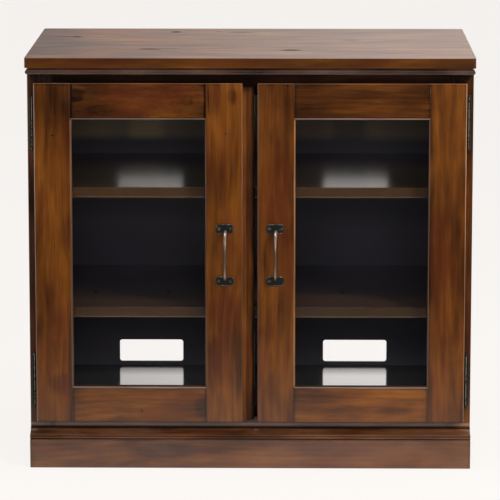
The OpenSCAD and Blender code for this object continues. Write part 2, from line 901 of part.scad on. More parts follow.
handle_screws(LEFT);  // handle_left_screws
door_hinge_stile(RIGHT);  // door_right_hinge_stile
door_meeting_stile(RIGHT);  // door_right_meeting_stile
door_rail(RIGHT, true);  // door_right_top_rail
door_rail(RIGHT, false);  // door_right_bottom_rail
door_glass(RIGHT);  // door_right_glass
door_glass_beads(RIGHT);  // door_right_glass_beads
door_hinge_leaves(RIGHT);  // door_right_hinge_leaves
door_screws(RIGHT);  // door_right_screws
door_strike_plate(RIGHT);  // door_right_strike_plate
door_bumpers(RIGHT);  // door_right_bumpers
handle_plates(RIGHT);  // handle_right_plates
handle_bar(RIGHT);  // handle_right_bar
handle_screws(RIGHT);  // handle_right_screws
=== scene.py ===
# %% [markdown]
# # A glass-door media cabinet in distressed chestnut
#
# The construction comes packed from CAD, with every board, hinge and screw at its real size and place.
# This script only dresses it: it rounds the arrises of the boards, stains and wears the wood, darkens the
# ironwork, paints some highlights, sheen and shade into the colours of wood and iron, and lights the result
# in a plain studio. Cells are short, so that each can be read and run by itself.

# %% Load the frame
import json
import math

import bmesh
import bpy
from mathutils import Euler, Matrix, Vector

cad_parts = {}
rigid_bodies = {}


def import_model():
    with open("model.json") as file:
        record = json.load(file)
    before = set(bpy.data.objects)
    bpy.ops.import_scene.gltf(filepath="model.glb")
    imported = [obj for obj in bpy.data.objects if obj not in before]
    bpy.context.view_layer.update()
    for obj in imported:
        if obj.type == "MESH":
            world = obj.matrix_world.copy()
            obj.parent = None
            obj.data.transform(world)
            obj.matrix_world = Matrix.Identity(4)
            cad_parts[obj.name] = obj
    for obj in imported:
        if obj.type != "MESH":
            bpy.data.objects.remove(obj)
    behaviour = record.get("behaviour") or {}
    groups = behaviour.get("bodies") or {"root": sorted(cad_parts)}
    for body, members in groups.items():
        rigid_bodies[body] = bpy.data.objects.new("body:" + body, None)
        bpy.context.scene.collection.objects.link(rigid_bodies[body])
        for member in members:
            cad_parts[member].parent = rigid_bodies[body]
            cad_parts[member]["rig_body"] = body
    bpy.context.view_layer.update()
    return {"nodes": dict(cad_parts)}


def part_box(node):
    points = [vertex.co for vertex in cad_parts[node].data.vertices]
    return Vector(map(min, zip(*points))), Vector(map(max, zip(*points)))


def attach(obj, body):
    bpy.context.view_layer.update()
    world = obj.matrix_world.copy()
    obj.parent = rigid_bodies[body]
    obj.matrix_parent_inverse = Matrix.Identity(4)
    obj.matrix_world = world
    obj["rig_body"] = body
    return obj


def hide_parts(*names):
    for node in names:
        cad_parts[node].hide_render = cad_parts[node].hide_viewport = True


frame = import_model()
nodes = frame["nodes"]
MM = 0.001
X, Y, Z = 0, 1, 2
LOW, HIGH = -1, 1

# %% [markdown]
# ## Shader maths as Python
#
# A procedural finish is mostly arithmetic on numbers that vary over the surface. Wiring dozens of Math
# nodes by hand hides that arithmetic, so a `Value` wraps one socket and turns `+ - * /` into nodes.
# Everything that isn't plain arithmetic, such as a noise or a ramp, comes from `Recipe.node`.


# %% A number that varies over the surface
class Value:
    """One output of a shader node, which Python's operators join to others."""

    def __init__(self, recipe, socket):
        self.recipe = recipe
        self.socket = socket

    def math(self, operation, first, second=None):
        inputs = {0: first} if second is None else {0: first, 1: second}
        return self.recipe.node("ShaderNodeMath", {"operation": operation}, inputs)

    def __add__(self, other):
        return self.math("ADD", self, other)

    def __sub__(self, other):
        return self.math("SUBTRACT", self, other)

    def __mul__(self, other):
        return self.math("MULTIPLY", self, other)

    def __truediv__(self, other):
        return self.math("DIVIDE", self, other)

    def __rsub__(self, other):
        return self.math("SUBTRACT", other, self)

    __radd__ = __add__
    __rmul__ = __mul__

    def least(self, other):
        return self.math("MINIMUM", self, other)

    def most(self, other):
        return self.math("MAXIMUM", self, other)

    def size(self):
        return self.math("ABSOLUTE", self)

    def sine(self):
        return self.math("SINE", self)

    def root(self):
        return self.math("SQRT", self)

    def sign(self):
        return self.math("SIGN", self)

    def ramp_up(self, start, end):
        """0 below start, 1 above end, and an even, smooth rise between them."""
        return self.recipe.node(
            "ShaderNodeMapRange", {"interpolation_type": "SMOOTHSTEP"},
            {"Value": self, "From Min": start, "From Max": end})

    def ramp_down(self, start, end):
        return 1 - self.ramp_up(start, end)


# %% The nodes of one finish, or of the room
OBJECT_PLACE = 3  # the Texture Coordinate node's output for a point of the object, in metres
DIRECTION = 0  # its output that is a direction, when the node is in the world


class Recipe:
    """The node tree of a material or of the world, to which nodes are added one by one."""

    def __init__(self, tree):
        self.tree = tree

    def plug(self, socket, value):
        if isinstance(value, Value):
            self.tree.links.new(value.socket, socket)
        elif value is not None:
            socket.default_value = value

    def node(self, kind, settings=None, inputs=None, output=0):
        made = self.tree.nodes.new(kind)
        for key, setting in (settings or {}).items():
            if key == "stops":
                ramp = made.color_ramp
                while len(ramp.elements) < len(setting):
                    ramp.elements.new(0.5)
                for element, (place, colour) in zip(ramp.elements, setting):
                    element.position = place
                    element.color = colour
            else:
                setattr(made, key, setting)
        for key, value in (inputs or {}).items():
            self.plug(made.inputs[key], value)
        return Value(self, made.outputs[output])

    def place(self, output=OBJECT_PLACE):
        """The three coordinates of a point, or of a direction, as three values."""
        spot = self.node("ShaderNodeTexCoord", output=output)
        return [self.node("ShaderNodeSeparateXYZ", {}, {0: spot}, output=i) for i in range(3)]

    def ray(self, kind):
        """1 where the light is followed for this purpose, and 0 where it isn't."""
        return self.node("ShaderNodeLightPath", output=kind)

    def vector(self, x, y, z):
        return self.node("ShaderNodeCombineXYZ", {}, {0: x, 1: y, 2: z})

    def noise(self, where, scale, detail=2.0, rough=0.5, twist=0.0):
        return self.node("ShaderNodeTexNoise", {}, {
            "Vector": where, "Scale": scale, "Detail": detail, "Roughness": rough, "Distortion": twist})

    def ramp(self, amount, *stops):
        return self.node("ShaderNodeValToRGB", {"stops": stops}, {0: amount})

    def blend(self, amount, under, over):
        """The colour `over` laid on the colour `under` by an amount from 0 to 1.

        A Mix node keeps its two colours in sockets 6 and 7, and gives the result as output 2.
        """
        return self.node("ShaderNodeMix", {"data_type": "RGBA"}, {0: amount, 6: under, 7: over}, output=2)


# %% A material, and its colours
class Finish(Recipe):
    """A material, which ends in its Principled shader."""

    def __init__(self, name):
        self.material = bpy.data.materials.new(name)
        self.material.use_nodes = True
        super().__init__(self.material.node_tree)
        self.shader = self.tree.nodes["Principled BSDF"]

    def set(self, **sockets):
        """Sets the shader's sockets, as set(base_color=..., roughness=...)."""
        for key, value in sockets.items():
            self.plug(self.shader.inputs[key.replace("_", " ").title().replace("Ior", "IOR")], value)

    def bump(self, height, strength, depth):
        normal = self.node("ShaderNodeBump", {}, {
            "Height": height, "Strength": strength, "Distance": depth})
        self.plug(self.shader.inputs["Normal"], normal)


def linear(*rgb):
    """A colour as a paint chart gives it, 0 to 255, in the renderer's linear numbers."""
    return tuple((c / 255 / 12.92) if c <= 10 else ((c / 255 + 0.055) / 1.055) ** 2.4 for c in rgb) + (1.0,)


print("a mid grey of 128 is", round(linear(128)[0], 3), "in linear numbers")

# %% [markdown]
# ## The chestnut finish
#
# On the real cabinet each board is stained by hand, so no two look alike: broad clouds of darker stain,
# streaks that follow the grain, a hint of the tree's rings and a dark glaze left in the joints. Some of the
# light is painted into the colours too: pale highlight lines along the arrises, a grey sheen in patches,
# and shade where a board lies in it. One picture of wood for all of them would show the same knots on every
# board. So the finish is built from noise, in this order: stain, painted sheen, glaze and painted shade,
# wax in the knots, painted highlight lines and lacquer. Each board knows its own box, so the distance to
# any of its sides is one subtraction, and a glaze, a painted shade or a highlight line is a band of that
# distance.

# %% Colours of the stain
# The darkest brown serves the glaze in the joints and painted shade alike.
GLAZE_AND_SHADE_DARK = linear(14, 6, 4)
UMBER = linear(38, 17, 7)
REDDISH = linear(84, 34, 14)
# The pale grey-brown is the colour of painted highlight lines along the arrises.
PALE_HIGHLIGHT = linear(168, 148, 138)
FILLER = linear(18, 8, 4)
STAIN = ((0.0, linear(34, 15, 4)), (0.30, linear(66, 33, 6)), (0.50, linear(90, 48, 8)),
         (0.72, linear(112, 63, 11)), (1.0, linear(142, 85, 21)))
print("the stain goes from dark to light in", len(STAIN), "steps")

# %% Patterns of the wood
# Each is a noise: how far it is drawn out along the grain (the smaller, the longer), its scale, its detail,
# a shift that keeps it apart from the others and, for some, a twist.
BEND = (0.5, 5, 1, 17.0)
CLOUD = (0.42, 14, 3, 0.0, 0.2)
BROAD = (0.15, 34, 2, 5.1, 0.5)
STREAK = (0.05, 120, 3, 9.4)
FIBRE = (0.02, 620, 2, 2.2)
WANDER = (0.22, 7, 1, 7.7)
BLUSH = (0.4, 17, 1, 31.0)
SMUDGE = (0.5, 15, 2, 13.3)
WORMY = (1.0, 9, 0, 3.3)
DENTS = (0.8, 60, 1, 21.0)
BEND_REACH = 30 * MM
print("patterns from", BEND[1], "to", FIBRE[1], "noise cells to the metre")


# %% One board and its wood
class Board:
    """A board between the corners low and high, with the patterns of its wood.

    flat: the axis that, with X, spans the face on which clouds and marks are placed.
    lean: how far the grain climbs, or falls, for each metre along the board.
    """

    def __init__(self, name, low, high, along, seed, flat, lean):
        self.finish = Finish(name)
        self.low = low
        self.high = high
        self.along = along
        self.seed = seed
        self.flat = flat
        self.spot = self.finish.place()
        centre = (low + high) / 2
        local = [self.spot[i] - centre[i] for i in range(3)]
        across = [i for i in range(3) if i != along]
        self.u = local[along]
        self.v = local[across[0]]
        self.w = local[across[1]]
        bend = self.grain(*BEND) - 0.5
        self.v = self.v + bend * BEND_REACH - self.u * lean
        self.cloud = self.grain(*CLOUD)
        self.broad = self.grain(*BROAD)
        self.streak = self.grain(*STREAK)
        self.fibre = self.grain(*FIBRE)

    def grain(self, squeeze, scale, detail, shift, twist=0.0):
        """A noise drawn out along the grain. The seed moves each board to wood of its own."""
        far, over, deep = self.seed * 3.7, self.seed * 1.3, self.seed * 2.1
        where = self.finish.vector(self.u * squeeze + far + shift, self.v + over, self.w + deep)
        return self.finish.noise(where, scale, detail, 0.55, twist)

    def gap(self, axis, side):
        """The distance from one side of the board."""
        return self.high[axis] - self.spot[axis] if side == HIGH else self.spot[axis] - self.low[axis]

    def patch(self, a, b, half_a, half_b):
        """0 in the middle of an ellipse on the board's face, 1 at its rim, and more outside it."""
        da = (self.spot[X] - a * MM) / (half_a * MM)
        db = (self.spot[self.flat] - b * MM) / (half_b * MM)
        return da * da + db * db


# %% Rings, stain and painted sheen
def rings(board):
    """The tree's rings as this board was sawn through them, from -1 to 1."""
    wander = board.grain(*WANDER) - 0.5
    slant = math.sin(board.seed * 12.9) * 0.10
    heart = math.sin(board.seed * 5.3) * 0.05
    v = board.v + board.u * slant + wander * 0.09 + heart
    w = board.w * 1.6 + 0.05 + wander * 0.05
    radius = (v * v + w * w).root()
    return (radius * 420 + board.streak * 3.0).sine()


def toned(board, lift, streaks, clouds):
    """A tone from 0, dark, to 1, light, is looked up in STAIN, and some of the wood blushes red."""
    tone = (0.47 + lift + (board.cloud - 0.5) * 1.05 + (board.broad - 0.5) * 0.70
            + (board.streak - 0.5) * streaks + (board.fibre - 0.5) * 0.34 + rings(board) * 0.035)
    # Lighter and darker patches; on a few boards they are painted shade and a painted highlight.
    for a, b, half_a, half_b, change in clouds:
        ragged = board.patch(a, b, half_a, half_b) + (board.broad - 0.5) * 1.8
        tone = tone + ragged.ramp_down(0.0, 1.4) * change
    colour = board.finish.ramp(tone, *STAIN)
    return board.finish.blend(board.grain(*BLUSH).ramp_up(0.48, 0.66) * 0.36, colour, REDDISH)


def hazed(board, colour, sheen_colour, amount):
    """A painted sheen, laid on in patches where the lacquer would mirror pale light."""
    patchy = (0.5 + (board.cloud - 0.5) * 2.2).most(0.1).least(1.0)
    return board.finish.blend(patchy * amount, colour, sheen_colour)


# %% Glaze and painted shade, wax, painted highlight lines and lacquer
def glaze_and_shade(board, colour, axis, side, reach, strength):
    """A dark band, for glazing in the joints and for painted shade. One under 3 mm wide is solid for half
    its width, and one under 6 mm has a straighter edge.
    """
    ragged = ((board.broad - 0.5) * 1.6 + (board.streak - 0.5) * 0.8) * (reach * MM * min(reach / 6, 1))
    solid = reach * MM * (0.5 if reach < 3 else 0)
    near = (board.gap(axis, side) + ragged).ramp_down(solid, reach * MM)
    return board.finish.blend(near * strength, colour, GLAZE_AND_SHADE_DARK)


def waxed(board, marks):
    """1 where worm holes, knots and cracks are filled, and 0 elsewhere."""
    holes = board.finish.node("ShaderNodeTexVoronoi", {"feature": "F1"}, {
        "Vector": board.finish.vector(board.u * 0.6 + board.seed, board.v, board.w), "Scale": 22.0})
    filled = holes.ramp_down(0.020, 0.036) * board.grain(*WORMY).ramp_up(0.50, 0.56)
    for a, b, half_a, half_b, strength in marks:
        ragged = board.patch(a, b, half_a, half_b) + (board.streak - 0.5) * 2.4 + (board.broad - 0.5) * 2.0
        filled = filled.most(ragged.ramp_down(-0.1, 1.1) * strength)
    return filled


def highlighted(board, colour, axis, side, inset, width, strength, tint=PALE_HIGHLIGHT):
    """A painted highlight line on the board's front, patchy along its length. On an upright board it is
    brightest on its upper part.
    """
    far = (board.gap(axis, side) - inset * MM).size() if inset else board.gap(axis, side)
    front = board.gap(Y, LOW).ramp_down(width * MM, width * MM * 1.6)
    line = far.ramp_down(width * MM * 0.45, width * MM) * front
    shine_patches = (0.62 + (board.broad - 0.5) * 0.9 + (board.cloud - 0.5) * 0.6).most(0.25).least(1.0)
    if board.along == Z:
        shine_patches = shine_patches * (0.55 + board.spot[Z].ramp_up(0.1, 0.6) * 0.45)
    return board.finish.blend(line * shine_patches * strength, colour, tint)


def lacquered(board, wax, shine):
    """The gloss as a coat of its own, thin over open grain and missing over knots."""
    sheet = 0.84 + (board.streak - 0.5) * 0.4 + (board.broad - 0.5) * 0.2 + (board.fibre - 0.5) * 0.3
    board.finish.set(coat_weight=sheet.least(1.0) * (1 - wax * 0.8), coat_roughness=shine)


# %% One stained board
GRAIN_DEPTH = 0.4 * MM


def chestnut(name, low, high, along, seed, lift=0.0, shine=0.23, gleam=0.5, streaks=0.40, flat=Z, lean=0.0,
             glazes=(), lines=(), marks=(), clouds=(), haze=None, lacquer=False):
    """The finish of the board between the corners low and high, with its grain along one axis.

    lift: how much lighter the stain is, and streaks how strong they show in it.
    glazes: (axis, side, reach, strength), a dark band that fades out over its reach from one side: glazing
    in the joints, and painted shade where a board lies in shade.
    lines: (axis, side, inset, width, strength, colour), a painted highlight line along one side's front
    arris, or at an inset from it.
    marks: (x, y or z, half length, half width, strength), a knot or a crack filled with dark wax.
    clouds: (x, y or z, half length, half width, change), a lighter or darker patch; on the face stiles and
    the astragal such patches stand for painted shade and a painted highlight. All are in millimetres.
    haze: (colour, amount), a painted sheen laid on in patches, where the lacquer would mirror pale light.
    """
    board = Board(name, low, high, along, seed, flat, lean)
    finish = board.finish
    colour = toned(board, lift, streaks, clouds)
    # A painted sheen, in patches, for the pale light that the lacquer would mirror.
    if haze:
        colour = hazed(board, colour, *haze)
    # Dark bands: glazing in the joints, and painted shade.
    for glaze in glazes:
        colour = glaze_and_shade(board, colour, *glaze)
    colour = finish.blend(board.grain(*SMUDGE).ramp_up(0.64, 0.78) * 0.3, colour, UMBER)
    wax = waxed(board, marks)
    colour = finish.blend(wax * 0.85, colour, FILLER)
    # Painted highlight lines.
    for line in lines:
        colour = highlighted(board, colour, *line)
    finish.set(base_color=colour, roughness=shine + (board.fibre - 0.5) * 0.10 + (board.cloud - 0.5) * 0.12,
               specular_ior_level=gleam)
    if lacquer:
        lacquered(board, wax, shine)
    dents = board.grain(*DENTS).ramp_up(0.64, 0.78)
    finish.bump(board.fibre * 0.25 + board.streak * 0.35 - wax * 0.2 - dents * 0.8, 0.35, GRAIN_DEPTH)
    return finish.material


# %% [markdown]
# ## The sight edge
#
# A narrow splay runs round each pane, and the light it catches is painted into its colour: a pale ground,
# golden where it faces the lamp on the right and grey elsewhere, dimmer on its lower part, with darker worn
# patches. It could be a strip of its own, but it is cut on the stiles and rails themselves, so it is a
# second finish on their sloping faces. A stile's splay goes on past the corner of the pane, where it is no
# more than the joint with the rail.

# %% The finish of a sight edge
# The splay's colours are painted light: grounds for its highlight, dimmer lower down, and painted shade
# behind a rail's front edge.
WORN_THROUGH = linear(64, 40, 26)
SHADED = linear(30, 18, 12)
LOWER_GROUND_HEIGHTS = (0.40, 0.60)
CORNER_BLUR = 1 * MM
HIGHLIGHT_DEPTH = (1.2 * MM, 1.9 * MM)


def sight_edge(name, along, seed, ground, lower_ground, span=None, joint=None, front=None):
    """The splay's painted highlight goes from ground at the top to faded lower down.

    span: the heights between which the splay borders the pane; above and below them it has the two colours
    of joint. front: the y of the door's face; a rail's splay keeps its painted highlight near it and is
    painted in shade deeper in.
    """
    finish = Finish(name)
    spot = finish.place()
    across = [i for i in range(3) if i != along]
    where = finish.vector(spot[along] * 0.12 + seed, spot[across[0]], spot[across[1]])
    patchy = finish.noise(where, 60, 2)
    colour = finish.blend(spot[Z].ramp_down(*LOWER_GROUND_HEIGHTS), ground, lower_ground)
    colour = finish.blend(patchy.ramp_up(0.42, 0.68) * 0.4, colour, WORN_THROUGH)
    if span:
        low, high = span
        above, below = joint
        over = spot[Z].ramp_up(low - CORNER_BLUR, low + CORNER_BLUR)
        beside = over * spot[Z].ramp_down(high - CORNER_BLUR, high + CORNER_BLUR)
        colour = finish.blend(beside, finish.blend(spot[Z].ramp_up(low, high), below, above), colour)
    if front is not None:
        colour = finish.blend((spot[Y] - front).ramp_up(*HIGHLIGHT_DEPTH) * 0.8, colour, SHADED)
    finish.set(base_color=colour, roughness=0.26 + patchy * 0.12)
    return finish.material


print("the splay is rubbed for", round(HIGHLIGHT_DEPTH[0] / MM, 1), "mm behind the door's face")

# %% [markdown]
# ## The dark inside
#
# Behind the glass the cabinet is nearly black. The deck and the back panel are stained blue-black, and on
# the back panel's upper part an olive-brown light is painted in, lighter in a spot on the left and darker
# in one on the right. The shelves are nearly black too, but their front edges are brown, and on their tops
# a lighter brown is painted for some way behind the edge, as the light that reaches them. The deck and the
# tops of the shelves are brought to a gloss and mirror the cut-outs in the back. At a low angle a slightly
# rough surface smears such a mirror image up and down much more than sideways, so a plain coat with a
# little roughness gives the soft patches on the upper shelf by itself.

# %% Parts of a dark board's finish
EDGE_WORN = linear(66, 45, 26)
ARRIS_WORN = linear(110, 84, 58)
# The lighter browns are painted light on a shelf's top, just behind its edge.
LIT_BROWN_TOP = (linear(88, 64, 45), linear(108, 80, 56))
BARE_WOOD = (linear(52, 40, 33), linear(66, 51, 41))
DOT_BLACK = linear(5, 5, 5)
DOT_HALVES = (4.4, 18.0)
EDGE_DEPTH = (1.0 * MM, 2.5 * MM)
ARRIS_HEIGHT = (1.0 * MM, 2.4 * MM)


def mottled(finish, cloud, under, over):
    """One colour in clouds over another."""
    return finish.blend(cloud.ramp_up(0.35, 0.7), under, over)


def painted_light_above(finish, spot, cloud, seed, colour, height, tint, patches):
    """A painted light, a tint laid above a height; each patch is (x, half width, change) of it, a lighter
    or darker spot in that light.
    """
    patchy = finish.noise(finish.vector(spot[X] + seed, 0.0, spot[Z] * 0.3), 9, 1).ramp_up(0.30, 0.70)
    amount = 0.38 + patchy * 0.20
    for middle, half, change in patches:
        amount = amount + (spot[X] - middle).size().ramp_down(half * 0.5, half * 1.3) * change
    above = (spot[Z] + (cloud - 0.5) * 0.02).ramp_up(height, height + 0.02)
    return finish.blend(above * amount, colour, tint)


def brown_front(finish, spot, cloud, colour, edge_y, arris_z, reach, share, brown):
    """The brown of a shelf's edge and the pale scuffs on its lower arris, and a painted light: a lighter
    brown on the shelf's top that fades out over some reach behind the edge.
    """
    behind = spot[Y] - edge_y
    lower = (spot[Z] - arris_z).ramp_down(*ARRIS_HEIGHT) * behind.ramp_down(*EDGE_DEPTH)
    top = mottled(finish, cloud, *LIT_BROWN_TOP)
    edge = mottled(finish, cloud, brown, EDGE_WORN)
    # Painted light: a lighter brown on the top near the edge, fading out behind it.
    colour = finish.blend(behind.ramp_down(reach * 0.3, reach) * share, colour, top)
    colour = finish.blend(behind.ramp_down(*EDGE_DEPTH), colour, edge)
    return finish.blend(lower * 0.6, colour, ARRIS_WORN)


def dark_dot(spot, x, y):
    """1 in a small spot on a shelf and 0 outside it. It is long, as the photograph sees it at a slant."""
    far = (spot[X] - x * MM) / (DOT_HALVES[0] * MM)
    deep = (spot[Y] - y * MM) / (DOT_HALVES[1] * MM)
    return (far * far + deep * deep).ramp_down(0.6, 1.2)


# %% One dark board
def dark_board(name, along, seed, ground, streaked, shine, coat=0.0, coat_rough=0.08, coat_ior=1.75,
               grit=0.2, light_above=None, front=None, matt_from=None, dots=(), bare_from=None):
    """A dark stained board.

    wash, front and dots: see washed, brown_front and dark_dot.
    matt_from: the y towards which the coat fades out.
    bare_from: the y behind which the board is bare brown. Dots are in millimetres, other lengths in metres.
    """
    finish = Finish(name)
    spot = finish.place()
    across = [i for i in range(3) if i != along]
    where = finish.vector(spot[along] * 0.05 + seed, spot[across[0]], spot[across[1]])
    cloud = finish.noise(where, 14, 3)
    fibre = finish.noise(where, 420, 2)
    colour = mottled(finish, cloud, ground, streaked)
    colour = finish.blend(fibre.ramp_up(0.45, 0.75) * 0.4, colour, streaked)
    if light_above:
        colour = painted_light_above(finish, spot, cloud, seed, colour, *light_above)
    if front:
        colour = brown_front(finish, spot, cloud, colour, *front)
    for x, y in dots:
        dot = dark_dot(spot, x, y)
        colour = finish.blend(dot, colour, DOT_BLACK)
        coat = (1 - dot) * coat
    if bare_from is not None:
        behind = (spot[Y] - bare_from).ramp_up(0.0, 1 * MM)
        colour = finish.blend(behind, colour, mottled(finish, cloud, *BARE_WOOD))
    if matt_from is not None:
        coat = (matt_from - spot[Y]).ramp_up(0.03, 0.11) * coat
    finish.set(base_color=colour, roughness=shine + (fibre - 0.5) * 0.06, coat_weight=coat,
               coat_roughness=coat_rough, coat_ior=coat_ior)
    finish.bump(fibre, grit, 0.3 * MM)
    return finish.material


# %% [markdown]
# ## Metal, glass and small parts
#
# The pulls and hinges are iron, blackened and then rubbed so that only the high places show pewter. The
# glass is clear: nearly all the light passes, and only the share that a real pane mirrors is left, which
# is small face on and grows at a slant. A mirror whose opacity is that share behaves the same way, and
# lets the lamps light the shelves behind it, which a refracting pane doesn't.

# %% Ironwork
IRON_BLACK = linear(30, 33, 30)
PEWTER = linear(176, 170, 160)
OIL_STAIN = linear(26, 24, 18)
# The grey of the painted highlight along the hinge barrels.
HIGHLIGHT_STRIPE_GREY = linear(134, 128, 114)
# Painted light on the pulls' bars: a warm reflection of the wood, shade on one side, and a highlight.
BAR_WOOD_REFLECTION = linear(140, 116, 102)
BAR_SHADE = linear(46, 42, 36)
BAR_GLINT = linear(212, 196, 182)


def blackened_iron(name, bright, seed, shine=0.30, gleam=0.5, barrel_highlight=None, bar_light=None):
    """Black iron, bared to pewter in places.

    bright: how much of it is bared to pewter.
    stripe: (x, half width) of a painted highlight, a thin grey line along the front, on the left and on the
    right of the cabinet.
    gripped: (x, half width, low z, high z) of a pull's bar, painted with light: a warm reflection of the
    wood all over, shade on its left side, and a highlight on its right side near its top.
    """
    finish = Finish(name)
    x, y, z = finish.place()
    where = finish.vector(x + seed, y, z)
    mottle = finish.noise(where, 240, 3, 0.6)
    pits = finish.noise(where, 1300, 2)
    bared = (mottle + (pits - 0.5) * 0.4).ramp_up(0.80 - 0.6 * bright, 1.0 - 0.35 * bright)
    colour = finish.blend(bared, IRON_BLACK, PEWTER)
    colour = finish.blend((0.5 - mottle).ramp_up(0.02, 0.2) * 0.4, colour, OIL_STAIN)
    metal = 0.45 + bared * 0.55
    if barrel_highlight:
        # A painted highlight: a thin grey line along the barrel, less metallic than the iron round it.
        middle, half = barrel_highlight
        highlight_mask = (x.size() - middle).size().ramp_down(half * 0.5, half * 1.4) * mottle.ramp_up(0.36, 0.5)
        colour = finish.blend(highlight_mask, colour, HIGHLIGHT_STRIPE_GREY)
        metal = metal - highlight_mask * 0.7
    # Painted light on a bar: a warm reflection of the wood over all of it, shade on its left side, and a
    # highlight on its right side near its top.
    if bar_light:
        middle, half, low, high = bar_light
        side = (x.size() - middle) * x.sign()
        bar_highlight = z.ramp_up(low, high) * side.ramp_up(-half * 0.5, half * 0.6)
        colour = finish.blend(0.6, colour, BAR_WOOD_REFLECTION)
        colour = finish.blend(side.ramp_down(-half, half * 0.2) * 0.75, colour, BAR_SHADE)
        colour = finish.blend(bar_highlight, colour, BAR_GLINT)
    finish.set(base_color=colour, metallic=metal, roughness=shine + (pits - 0.5) * 0.16,
               specular_ior_level=gleam)
    finish.bump(mottle + pits * 0.3, 0.25, 0.3 * MM)
    return finish.material


# %% Zinc, plastic, felt and glass
def speckled(name, ground, fleck, scale, rough, metal=0.0, bump=0.2):
    """A ground with flecks of a second colour, as on plated zinc, moulded plastic and felt."""
    finish = Finish(name)
    x, y, z = finish.place()
    grain = finish.noise(finish.vector(x, y, z), scale, 3)
    finish.set(base_color=finish.blend(grain.ramp_up(0.4, 0.7), ground, fleck),
               roughness=rough + (grain - 0.5) * 0.15, metallic=metal)
    finish.bump(grain, bump, 0.3 * MM)
    return finish.material


def clear_glass():
    """A mirror that is seen through face on, and mirrors with the fifth power of the slant."""
    finish = Finish("cabinet_glass")
    x, y, z = finish.place()
    film = finish.noise(finish.vector(x, y, z * 0.4), 5, 2)
    slant = finish.node("ShaderNodeLayerWeight", {}, {"Blend": 0.5}, output=1)
    square = slant * slant
    finish.set(base_color=linear(238, 243, 242), metallic=1.0, alpha=0.006 + square * square * slant * 0.8,
               roughness=0.01 + film * 0.02)
    return finish.material


zinc = speckled("zinc_plate", linear(150, 150, 148), linear(190, 190, 186), 500, 0.34, metal=1.0)
black_plastic = speckled("black_plastic", linear(20, 20, 21), linear(34, 34, 35), 900, 0.5)
brown_felt = speckled("brown_felt", linear(42, 34, 28), linear(66, 54, 44), 1600, 0.95, bump=0.8)
glass = clear_glass()
print("finishes", len(bpy.data.materials))

# %% [markdown]
# ## From CAD board to worn board
#
# A CAD board has knife-sharp arrises, and real light never lands on one: what shows as an edge is a small
# round that catches a highlight. A shader can fake such a round, but the outline stays sharp. So each
# board is copied, its loose triangles are merged back into faces, and its long edges get a narrow bevel.
# The short edges round the screw holes stay as they are. The pins of the hinges are turned, so their
# copies are only shaded smooth, and a part whose shape is right already is painted where it is.

# %% Copy, merge and round
TOUCHING = 0.01 * MM
FLAT = math.radians(0.5)
SHARP = math.radians(25)
TURNED_SHARP = math.radians(35)
SLOPING = 0.3
SMALLEST_SPLAY = 400 * MM * MM


def merged(node):
    """A copy of a CAD node's mesh, with its loose triangles joined where they touch."""
    mesh = bmesh.new()
    mesh.from_mesh(nodes[node].data)
    bmesh.ops.remove_doubles(mesh, verts=mesh.verts, dist=TOUCHING)
    return mesh


def flat_faced(node):
    """A merged copy in which the triangles of each flat face are one face again."""
    mesh = merged(node)
    bmesh.ops.dissolve_limit(mesh, angle_limit=FLAT, verts=mesh.verts, edges=mesh.edges, delimit={"NORMAL"})
    return mesh


def round_arrises(mesh, arris, rounds, shortest):
    """Rounds the sharp edges that are longer than shortest, and returns the faces of the rounds."""
    sharp = [edge for edge in mesh.edges if len(edge.link_faces) == 2 and edge.calc_length() > shortest
             and edge.calc_face_angle() > SHARP]
    rounded = bmesh.ops.bevel(mesh, geom=sharp, offset=arris, offset_type="OFFSET", affect="EDGES",
                              segments=rounds, profile=0.5, material=-1, clamp_overlap=True)["faces"]
    for face in rounded:
        face.smooth = True
    return rounded


# %% The piece that stands for a CAD node
def stand_for(node, name, mesh, slot, *materials):
    """Makes a bmesh the visible piece of a CAD node, on the node's own body."""
    shape = bpy.data.meshes.new(name)
    mesh.to_mesh(shape)
    mesh.free()
    for material in materials:
        shape.materials.append(material)
    piece = bpy.data.objects.new(name, shape)
    bpy.context.scene.collection.objects.link(piece)
    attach(piece, nodes[node]["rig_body"])
    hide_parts(node)


def worn_copy(node, arris, slot, material, rounds=3, shortest=6 * MM, splay=None):
    """A copy of a CAD board with rounded arrises. splay: the finish of its sloping sight edge."""
    mesh = flat_faced(node)
    for face in mesh.faces:
        normal = face.normal
        slopes = abs(normal.y) > SLOPING and max(abs(normal.x), abs(normal.z)) > SLOPING
        face.smooth = False
        face.material_index = 1 if splay and slopes and face.calc_area() > SMALLEST_SPLAY else 0
    round_arrises(mesh, arris, rounds, shortest)
    stand_for(node, f"{node}_finished", mesh, slot, *([material, splay] if splay else [material]))


def smooth_copy(node, slot, material):
    """A copy of a turned CAD piece, shaded smooth but for its sharp edges."""
    mesh = merged(node)
    for face in mesh.faces:
        face.smooth = True
    for edge in mesh.edges:
        edge.smooth = len(edge.link_faces) == 2 and edge.calc_face_angle() < TURNED_SHARP
    stand_for(node, f"{node}_finished", mesh, slot, material)


def paint(node, material):
    """Gives a CAD node whose shape is right a better material."""
    nodes[node].data.materials.clear()
    nodes[node].data.materials.append(material)


# %% [markdown]
# ## The case
#
# Each board runs its grain along its length: X for rails and mouldings, Y for the side strips of the top, Z
# for stiles and side panels. One finish could cover them all, but then the grain would run on from board to
# board, so each gets a seed of its own, and says how light it is stained and how it shines. The face frame,
# recessed behind the doors, is stained darker than the doors as painted shade. Over the doors the shade of
# the top is painted in: the rail there is near black and the face stiles darken at their tops. Under the
# doors their shadow is painted along the bottom rail and the top of the base moulding, and a pale painted
# sheen line crosses the strip that shows there. The strip under the top, the base moulding and the plinth
# carry a painted grey sheen.


